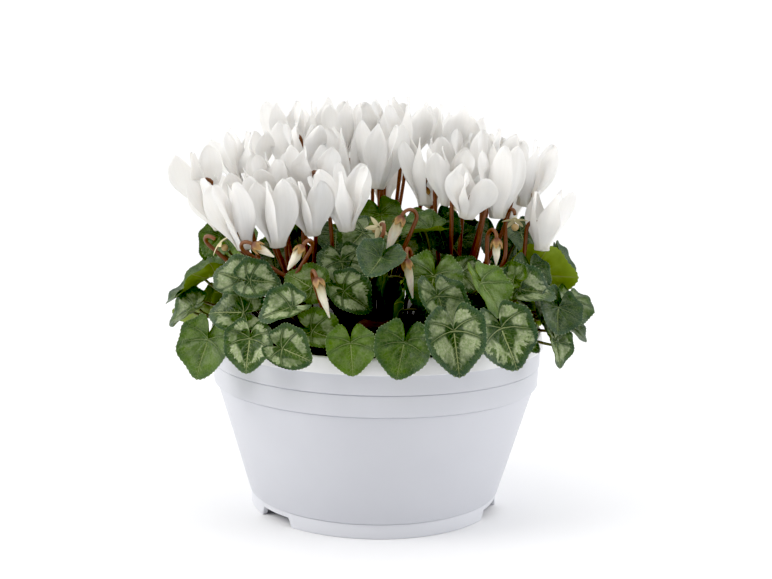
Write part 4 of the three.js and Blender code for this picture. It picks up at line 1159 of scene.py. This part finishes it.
class Finish:
    """One new material, or one world, and its nodes."""

    def __init__(self, name, blocks=bpy.data.materials):
        self.block = blocks.new(name)
        self.block.use_nodes = True
        self.tree = self.block.node_tree
        self.tree.nodes.clear()

    def node(self, kind, settings=None, inputs=None, output=0):
        """Adds a node, sets its settings first and then its sockets, and gives one of its outputs."""
        node = self.tree.nodes.new(kind)
        for name, value in (settings or {}).items():
            setattr(node, name, value)
        for key, value in (inputs or {}).items():
            if isinstance(value, Signal):
                self.tree.links.new(value.socket, node.inputs[key])
            else:
                node.inputs[key].default_value = value
        return Signal(self, node.outputs[output]) if node.outputs else None

    def mix(self, factor, first, second):
        """A colour between two colours."""
        settings = {"data_type": "RGBA"}
        colours = [value if isinstance(value, Signal) else (*value, 1) for value in (first, second)]
        return self.node("ShaderNodeMix", settings, {0: factor, 6: colours[0], 7: colours[1]}, output=2)

    def noise(self, size, detail=2.0, roughness=0.5):
        """Noise from 0 to 1 with patches of about a size in millimetres."""
        place = self.node("ShaderNodeTexCoord", output="Object")
        inputs = {"Vector": place, "Scale": 1 / (size * MM), "Detail": detail, "Roughness": roughness}
        return self.node("ShaderNodeTexNoise", {}, inputs)

    def streaks(self, x, y, z, scale, detail=2.0):
        """Noise from 0 to 1 over three numbers of the surface's own."""
        place = self.node("ShaderNodeCombineXYZ", {}, {0: x, 1: y, 2: z})
        return self.node("ShaderNodeTexNoise", {}, {"Vector": place, "Scale": scale, "Detail": detail})

    def net(self, size):
        """The distance from the lines of a net whose meshes are about a size in millimetres, as a share
        of that size."""
        place = self.node("ShaderNodeTexCoord", output="Object")
        settings = {"feature": "DISTANCE_TO_EDGE"}
        return self.node("ShaderNodeTexVoronoi", settings, {"Vector": place, "Scale": 1 / (size * MM)})

    def parts(self, attribute):
        """The three numbers of an attribute, and the fourth if it is a colour's alpha."""
        source = {"attribute_name": attribute}
        vector = self.node("ShaderNodeAttribute", source, output="Vector")
        alpha = self.node("ShaderNodeAttribute", source, output="Alpha")
        numbers = [self.node("ShaderNodeSeparateXYZ", {}, {0: vector}, output=axis) for axis in "XYZ"]
        return (*numbers, alpha)

    def depth(self):
        """How deep in the foliage a point lies, from 0 near its outside to 1: the mask of the painted
        shade in the foliage.
        """
        place = self.node("ShaderNodeTexCoord", output="Object")
        foot = {0: place, 1: (0, 0, FOLIAGE_FOOT * MM)}
        above = self.node("ShaderNodeVectorMath", {"operation": "SUBTRACT"}, foot)
        size = {0: above, 1: (FOLIAGE_RADIUS * MM, FOLIAGE_RADIUS * MM, FOLIAGE_HEIGHT * MM)}
        share = self.node("ShaderNodeVectorMath", {"operation": "DIVIDE"}, size)
        length = self.node("ShaderNodeVectorMath", {"operation": "LENGTH"}, {0: share}, output="Value")
        return length.step(0.9, 0.58)

    def shaded(self, colour, most, dark):
        """Painted shade: a colour that turns up to most of the way into a dark one deep in the foliage,
        where shade falls.
        """
        return self.mix(self.depth() * most, colour, dark)

    def surface(self, bump=None, bump_height=0.3, **sockets):
        """The Principled shader with its sockets by name, and a bump in millimetres. Gives the
        material."""
        inputs = {name.replace("_", " "): value for name, value in sockets.items()}
        if bump is not None:
            relief = {"Height": bump, "Distance": bump_height * MM}
            inputs["Normal"] = self.node("ShaderNodeBump", {}, relief)
        shader = self.node("ShaderNodeBsdfPrincipled", {}, inputs)
        self.node("ShaderNodeOutputMaterial", {}, {"Surface": shader})
        return self.block


def once(make):
    """The finish is made at its first use and then shared."""
    made = []

    def finish():
        if not made:
            made.append(make())
        return made[0]

    return finish


@once
def plastic_finish():
    """White moulded plastic: faintly mottled, with a fine matte grain, and painted light that makes the
    foot and the lip paler.
    """
    finish = Finish("white_plastic")
    cloud = finish.noise(45, 3)
    grain = finish.noise(0.8, 2)
    colour = finish.mix(cloud, (0.58, 0.59, 0.635), (0.625, 0.635, 0.675))
    place = finish.node("ShaderNodeTexCoord", output="Object")
    height = finish.node("ShaderNodeSeparateXYZ", {}, {0: place}, output=2)
    # Painted light: the foot, below the step, is made paler.
    foot = height.step(STEP_HEIGHT * MM, (STEP_HEIGHT - GROOVE) * MM)
    lip = (BOWL_HEIGHT - LIP_HEIGHT) * MM
    colour = finish.mix(foot, colour, (0.71, 0.72, 0.76))
    # Painted light: the lip's face, which catches the light from above, is made paler.
    colour = finish.mix(height.step(lip, lip + 0.4 * MM), colour, (0.84, 0.84, 0.86))
    return finish.surface(Base_Color=colour, Roughness=0.34 + 0.12 * cloud, bump=grain, bump_height=0.02)


@once
def soil_finish():
    """Moist potting soil: near black, with brown fibres and a grain of many sizes."""
    finish = Finish("moist_soil")
    patch = finish.noise(7, 5, 0.65)
    fleck = finish.noise(1.3, 3, 0.6)
    colour = finish.mix(patch, (0.004, 0.003, 0.002), (0.022, 0.014, 0.009))
    colour = finish.mix(fleck.step(0.62, 0.75), colour, (0.07, 0.042, 0.022))
    return finish.surface(Base_Color=colour, Roughness=0.75 + 0.2 * fleck, bump=fleck + patch,
                          bump_height=0.9)


@once
def corm_finish():
    """A corm's skin: dark brown, wrinkled and dry."""
    finish = Finish("corm_skin")
    patch = finish.noise(5, 4, 0.6)
    colour = finish.mix(patch, (0.045, 0.022, 0.014), (0.14, 0.075, 0.045))
    return finish.surface(Base_Color=colour, Roughness=0.8, bump=patch, bump_height=0.8)


@once
def stem_finish():
    """A flower stem: deep brown red, a little greener and paler near the flower, with fine streaks."""
    finish = Finish("flower_stem")
    _, share, _, _ = finish.parts("place")
    streak = finish.noise(2.2, 3, 0.6)
    colour = finish.mix(streak, (0.085, 0.020, 0.007), (0.22, 0.072, 0.024))
    colour = finish.mix(share.step(0.35, 1) * 0.3, colour, (0.30, 0.15, 0.06))
    # Painted shade: the stem darkens deep in the foliage.
    colour = finish.shaded(colour, 0.7, (0.020, 0.006, 0.003))
    return finish.surface(Base_Color=colour, Roughness=0.45, bump=streak, bump_height=0.15)


@once
def petiole_finish():
    """A petiole: brown red at its foot, turning olive near the blade."""
    finish = Finish("petiole")
    _, share, _, _ = finish.parts("place")
    streak = finish.noise(2.5, 3, 0.6)
    foot = finish.mix(streak, (0.06, 0.018, 0.009), (0.11, 0.04, 0.018))
    colour = finish.mix((share + 0.4 * streak).step(0.5, 1.3), foot, (0.11, 0.12, 0.03))
    # Painted shade: the petiole darkens deep in the foliage.
    colour = finish.shaded(colour, 0.7, (0.012, 0.006, 0.003))
    return finish.surface(Base_Color=colour, Roughness=0.5, bump=streak, bump_height=0.15)


@once
def calyx_finish():
    """A calyx: brown at the stem, ochre to pale yellow at its lobes, freckled."""
    finish = Finish("calyx")
    _, share, _, _ = finish.parts("place")
    age, _, _, _ = finish.parts("look")
    freckle = finish.noise(1.6, 3, 0.6)
    colour = finish.mix(share.step(0.1, 0.9), (0.14, 0.045, 0.02), (0.42, 0.26, 0.09))
    colour = finish.mix(freckle.step(0.5, 0.7) * 0.6, colour, (0.16, 0.06, 0.03))
    colour = finish.mix(age.step(0.5, 1) * 0.8, colour, (0.76, 0.71, 0.42))
    return finish.surface(Base_Color=colour, Roughness=0.5, bump=freckle, bump_height=0.2)


@once
def bud_finish():
    """A furled bud: cream white, greener at its base, with a blush along its folds."""
    finish = Finish("furled_bud")
    _, share, _, _ = finish.parts("place")
    blush = finish.noise(6, 2)
    colour = finish.mix(share.step(0.45, 1), (0.80, 0.76, 0.62), (0.42, 0.36, 0.16))
    colour = finish.mix(blush.step(0.5, 0.75) * 0.4, colour, (0.55, 0.34, 0.22))
    return finish.surface(Base_Color=colour, Roughness=0.45, Subsurface_Weight=0.2, Subsurface_Scale=0.004,
                          bump=blush, bump_height=0.1)


@once
def petal_finish():
    """A petal: white, a little creamy at its base, with faint lengthwise veins and a soft translucence."""
    finish = Finish("white_petal")
    across, along, own, _ = finish.parts("place")
    age, _, _, _ = finish.parts("look")
    cloud = finish.noise(16, 2)
    vein = (across * 0.5 * (1.4 - along) + own).folded(0.06) * 16
    colour = finish.mix(cloud * 0.6 + age * 0.4, (0.86, 0.842, 0.805), (0.91, 0.90, 0.88))
    colour = finish.mix(along.step(0.2, 0.0) * 0.8, colour, (0.78, 0.74, 0.62))
    colour = finish.mix((1 - vein).step(0.6, 1) * 0.06, colour, (0.66, 0.63, 0.56))
    return finish.surface(Base_Color=colour, Roughness=0.5 + 0.12 * cloud, Subsurface_Weight=0.35,
                          Subsurface_Scale=0.006, Subsurface_Radius=(1.0, 0.85, 0.7), Sheen_Weight=0.15,
                          bump=vein, bump_height=0.05)


@once
def throat_finish():
    """The inside of a bloom's mouth: cream, shaded with ochre."""
    finish = Finish("bloom_throat")
    cloud = finish.noise(3, 2)
    colour = finish.mix(cloud, (0.50, 0.36, 0.20), (0.74, 0.68, 0.52))
    return finish.surface(Base_Color=colour, Roughness=0.6)


def side_vein(turn, share, reach):
    """How far the nearest side vein is, as a share of the blade's length. The two on either side leave the
    joint at their own angle and bend towards the tip."""
    first, second = [abs(turn - start * (1 - VEIN_BEND * share)) * reach for start in SIDE_VEIN_ANGLES]
    return first.smallest(second)


@once
def blade_finish():
    """A blade's upper face: dark to bright green with jagged silver patches between the side veins, round
    a darker middle, a pale feathered midrib, a fine net and a bluish, dotted rim. Its look gives the
    green, the silver, the middle and the veins."""
    finish = Finish("leaf_face")
    turn, share, reach, _ = finish.parts("place")
    green, band, middle, veined = finish.parts("look")
    patch = finish.noise(9, 4, 0.6)
    fleck = finish.noise(1.7, 3, 0.65)
    net = finish.net(2.6)
    streak = finish.streaks(turn * 5, share * 1.6, green * 9, 2.4, 4)
    sideways = turn * reach
    side = side_vein(turn, share, reach)
    flank = side.step(0.06, 0.015)
    broken = finish.noise(15, 3, 0.6).step(0.36, 0.56)
    colour = finish.mix(green * 0.7 + (patch - 0.5) * 1.1, (0.008, 0.034, 0.005), (0.105, 0.20, 0.006))
    marks = streak.step(0.5, 0.75) * 0.3 + fleck.step(0.5, 0.8) * 0.25
    colour = finish.mix(marks, colour, (0.13, 0.20, 0.02))
    jag = (turn + 0.25 * share).folded(0.13) * 0.35 + (streak - 0.5) * 0.45 + (patch - 0.5) * 0.6
    inner = 0.2 + 0.3 * middle + 0.2 * middle * turn.step(0.6, 0.1) + (patch - 0.5) * 0.3
    wedge = (sideways + (patch - 0.5) * 0.08).step(0.15 - 0.12 * share, 0.07 - 0.06 * share)
    silver = (share - inner).step(-0.04, 0.06) * (share + jag).step(0.84, 0.77) * (1 - 0.7 * flank)
    silver = silver * (1 - 0.8 * wedge)
    sheen = finish.mix(fleck.step(0.34, 0.70), (0.30, 0.39, 0.16), (0.56, 0.60, 0.40))
    strength = (0.3 + 0.7 * broken) * (0.72 + 0.3 * streak)
    colour = finish.mix(silver * band * strength, colour, sheen)
    colour = finish.mix(side.step(0.09, 0.02) * 0.45, colour, (0.012, 0.040, 0.008))
    colour = finish.mix(net.step(0.10, 0.0) * 0.25, colour, (0.18, 0.24, 0.06))
    midrib = (sideways / (0.026 - 0.018 * share)).step(1, 0.3)
    twigs = (reach - 0.9 * sideways).folded(0.05).step(0.012, 0.003) * sideways.step(0.12, 0.03)
    side_veins = (side / (0.015 - 0.010 * share)).step(1, 0.3) * share.step(1, 0.4)
    veins = midrib.largest(0.6 * twigs).largest(0.8 * side_veins)
    colour = finish.mix(veins * veined, colour, (0.44, 0.50, 0.22))
    colour = finish.mix(share.step(0.76, 0.97) * (0.55 - 0.5 * green), colour, (0.040, 0.085, 0.048))
    dots = turn.folded(RIM_DOTS).step(0.03, 0.01) * share.step(0.955, 0.985)
    colour = finish.mix(dots * 0.5, colour, (0.40, 0.45, 0.25))
    # Painted shade: the face turns nearly black deep in the foliage; the same mask also makes it rougher.
    deep = finish.depth()
    colour = finish.mix(deep * 0.8, colour, (0.004, 0.010, 0.002))
    height = 0.5 * patch + 0.4 * fleck - 0.9 * veins - 0.3 * net.step(0.12, 0.0)
    return finish.surface(Base_Color=colour, Roughness=0.27 + 0.16 * fleck + 0.4 * deep,
                          Specular_IOR_Level=0.42, bump=height, bump_height=0.5)


@once
def underside_finish():
    """A blade's underside: lime to olive green, matte, with paler raised veins."""
    finish = Finish("leaf_underside")
    turn, share, reach, _ = finish.parts("place")
    green, _, _, _ = finish.parts("look")
    patch = finish.noise(10, 4, 0.6)
    veins = (turn * reach).smallest(side_vein(turn, share, reach)).step(0.02, 0.006)
    colour = finish.mix((patch - 0.5) * 0.8 + green, (0.060, 0.095, 0.016), (0.27, 0.37, 0.045))
    colour = finish.mix(veins * 0.5, colour, (0.36, 0.36, 0.14))
    # Painted shade: the underside darkens deep in the foliage.
    colour = finish.shaded(colour, 0.8, (0.006, 0.010, 0.002))
    return finish.surface(Base_Color=colour, Roughness=0.6, bump=patch + veins, bump_height=0.3,
                          Specular_IOR_Level=0.3)


# Putting it together


def make_plants():
    """Finds where the solid model put every bloom, bud and leaf, and makes the pieces there."""
    stems = np.concatenate([corners_of(f"corm_and_flower_stems_{plant.name}") for plant in PLANTS])
    blooms = [found(lambda move: bloom_plan(i, move), BLOOM_REACH, bloom_key, corners_of(f"bloom_{i + 1}"))
              for i in range(len(BLOOMS))]
    buds = [found(lambda move: bud_plan(i, move), BLOOM_REACH, bud_key, stems) for i in range(len(BUDS))]
    for plan in blooms:
        make_bloom(plan)
    for plant in PLANTS:
        make_flower_stems(plant, [plan for plan in blooms if plan.plant is plant],
                          [plan for plan in buds if plan and plan.plant is plant])

    fields = ("x", "y", "z", "face", "slope", "turn", "size", "fold", "look")
    front = [SimpleNamespace(**dict(zip(fields, row))) for row in FRONT_LEAVES]
    roots = spray_roots()
    for root in roots:
        root.corners = corners_of(root.name)
        root.plans = []
    for leaf in front + leaves_of_rings(front):
        root = nearest(roots, (leaf.x, leaf.y))
        plan = found(lambda move: leaf_plan(leaf, move), LEAF_REACH, blade_key, root.corners)
        if plan:
            root.plans.append(plan)
    for root in roots:
        make_spray(root, root.plans)


def bloom_key(plan):
    """A bloom's nose is one corner of its node."""
    return plan.flower.nose, 0, 1


def bud_key(plan):
    """A bud ends in three corners round its tip."""
    return plan.flower.nose, BUD_TIP_RADIUS, 3


def blade_key(plan):
    """A blade's tip is one corner of its spray."""
    return blade_points(plan, 0.0, heart(np.array(0.0)) * plan.size, 0.0, 1), 0, 1


def add_area_light(name, place, radiance, colour):
    """A soft square light, placed in metres, that looks at the lights' target. Its power is pi times its
    area times its radiance."""
    data = bpy.data.lights.new(name, "AREA")
    data.shape = "RECTANGLE"
    data.size = LIGHT_SIZE
    data.size_y = LIGHT_SIZE
    data.energy = math.pi * LIGHT_SIZE * LIGHT_SIZE * radiance
    data.color = colour
    light = bpy.data.objects.new(name, data)
    light.location = place
    light.rotation_euler = (Vector(LIGHT_TARGET) - Vector(place)).to_track_quat("-Z", "Y").to_euler()
    bpy.context.scene.collection.objects.link(light)


def light_scene():
    """A surround that is white behind, overhead and along the horizon and dim at the front, with a soft
    light at the front left and a weaker one at the right."""
    add_area_light("key_light", (-1.5, -0.6, 1.2), 4.0, (1, 0.985, 0.96))
    add_area_light("side_light", (1.7, -0.2, 0.7), 2.2, (0.97, 0.98, 1))
    surround = Finish("studio_surround", bpy.data.worlds)
    direction = surround.node("ShaderNodeTexCoord", output="Generated")
    back_and_up = {0: direction, 1: (0, 0.6, 0.8)}
    toward_back = surround.node("ShaderNodeVectorMath", {"operation": "DOT_PRODUCT"}, back_and_up, "Value")
    height = surround.node("ShaderNodeSeparateXYZ", {}, {0: direction}, "Z")
    gradient = DIM + (WHITE - DIM) * toward_back.step(-0.2, 0.42)
    strength = gradient.largest(WHITE * height.step(0.14, 0.08))
    background = surround.node("ShaderNodeBackground", {}, {"Color": (1, 1, 1, 1), "Strength": strength})
    surround.node("ShaderNodeOutputWorld", {}, {"Surface": background})
    bpy.context.scene.world = surround.block
    view = bpy.context.scene.view_settings
    view.view_transform = "Standard"
    view.exposure = EXPOSURE
    view.use_curve_mapping = True
    view.curve_mapping.black_level = [BLACK_LEVEL] * 3
    view.curve_mapping.update()


def make_floor():
    """A plain pale floor."""
    finish = Finish("pale_floor")
    material = finish.surface(Base_Color=(0.93, 0.93, 0.94, 1), Roughness=0.9)
    mesh = bpy.data.meshes.new("floor")
    corners = [(x * FLOOR_HALF, y * FLOOR_HALF, 0) for x, y in ((-1, -1), (1, -1), (1, 1), (-1, 1))]
    mesh.from_pydata(corners, [], [(0, 1, 2, 3)])
    mesh.materials.append(material)
    floor = bpy.data.objects.new("floor", mesh)
    bpy.context.scene.collection.objects.link(floor)


def aim_camera():
    """The photograph's view: the fitted place, turned by yaw, pitched down and rolled, with the focal
    length as the image's width times the sensor's over pixels."""
    ahead = np.array([math.sin(CAMERA_YAW), math.cos(CAMERA_YAW), 0])
    forward = math.cos(CAMERA_PITCH) * ahead - math.sin(CAMERA_PITCH) * Z
    upward = math.sin(CAMERA_PITCH) * ahead + math.cos(CAMERA_PITCH) * Z
    right = cross(forward, upward)
    side = math.cos(CAMERA_ROLL) * right + math.sin(CAMERA_ROLL) * upward
    top = math.cos(CAMERA_ROLL) * upward - math.sin(CAMERA_ROLL) * right
    data = bpy.data.cameras.new("camera")
    data.sensor_width = SENSOR_WIDTH
    data.lens = SENSOR_WIDTH * FOCAL_PIXELS / IMAGE_WIDTH
    camera = bpy.data.objects.new("camera", data)
    place = Matrix.Translation((0, -CAMERA_DISTANCE * MM, CAMERA_HEIGHT * MM))
    camera.matrix_world = place @ Matrix(np.stack([side, top, -forward], 1).tolist()).to_4x4()
    bpy.context.scene.collection.objects.link(camera)
    bpy.context.scene.camera = camera


aim_camera()
light_scene()
make_floor()
make_bowl()
make_soil()
make_plants()

bpy.context.view_layer.update()
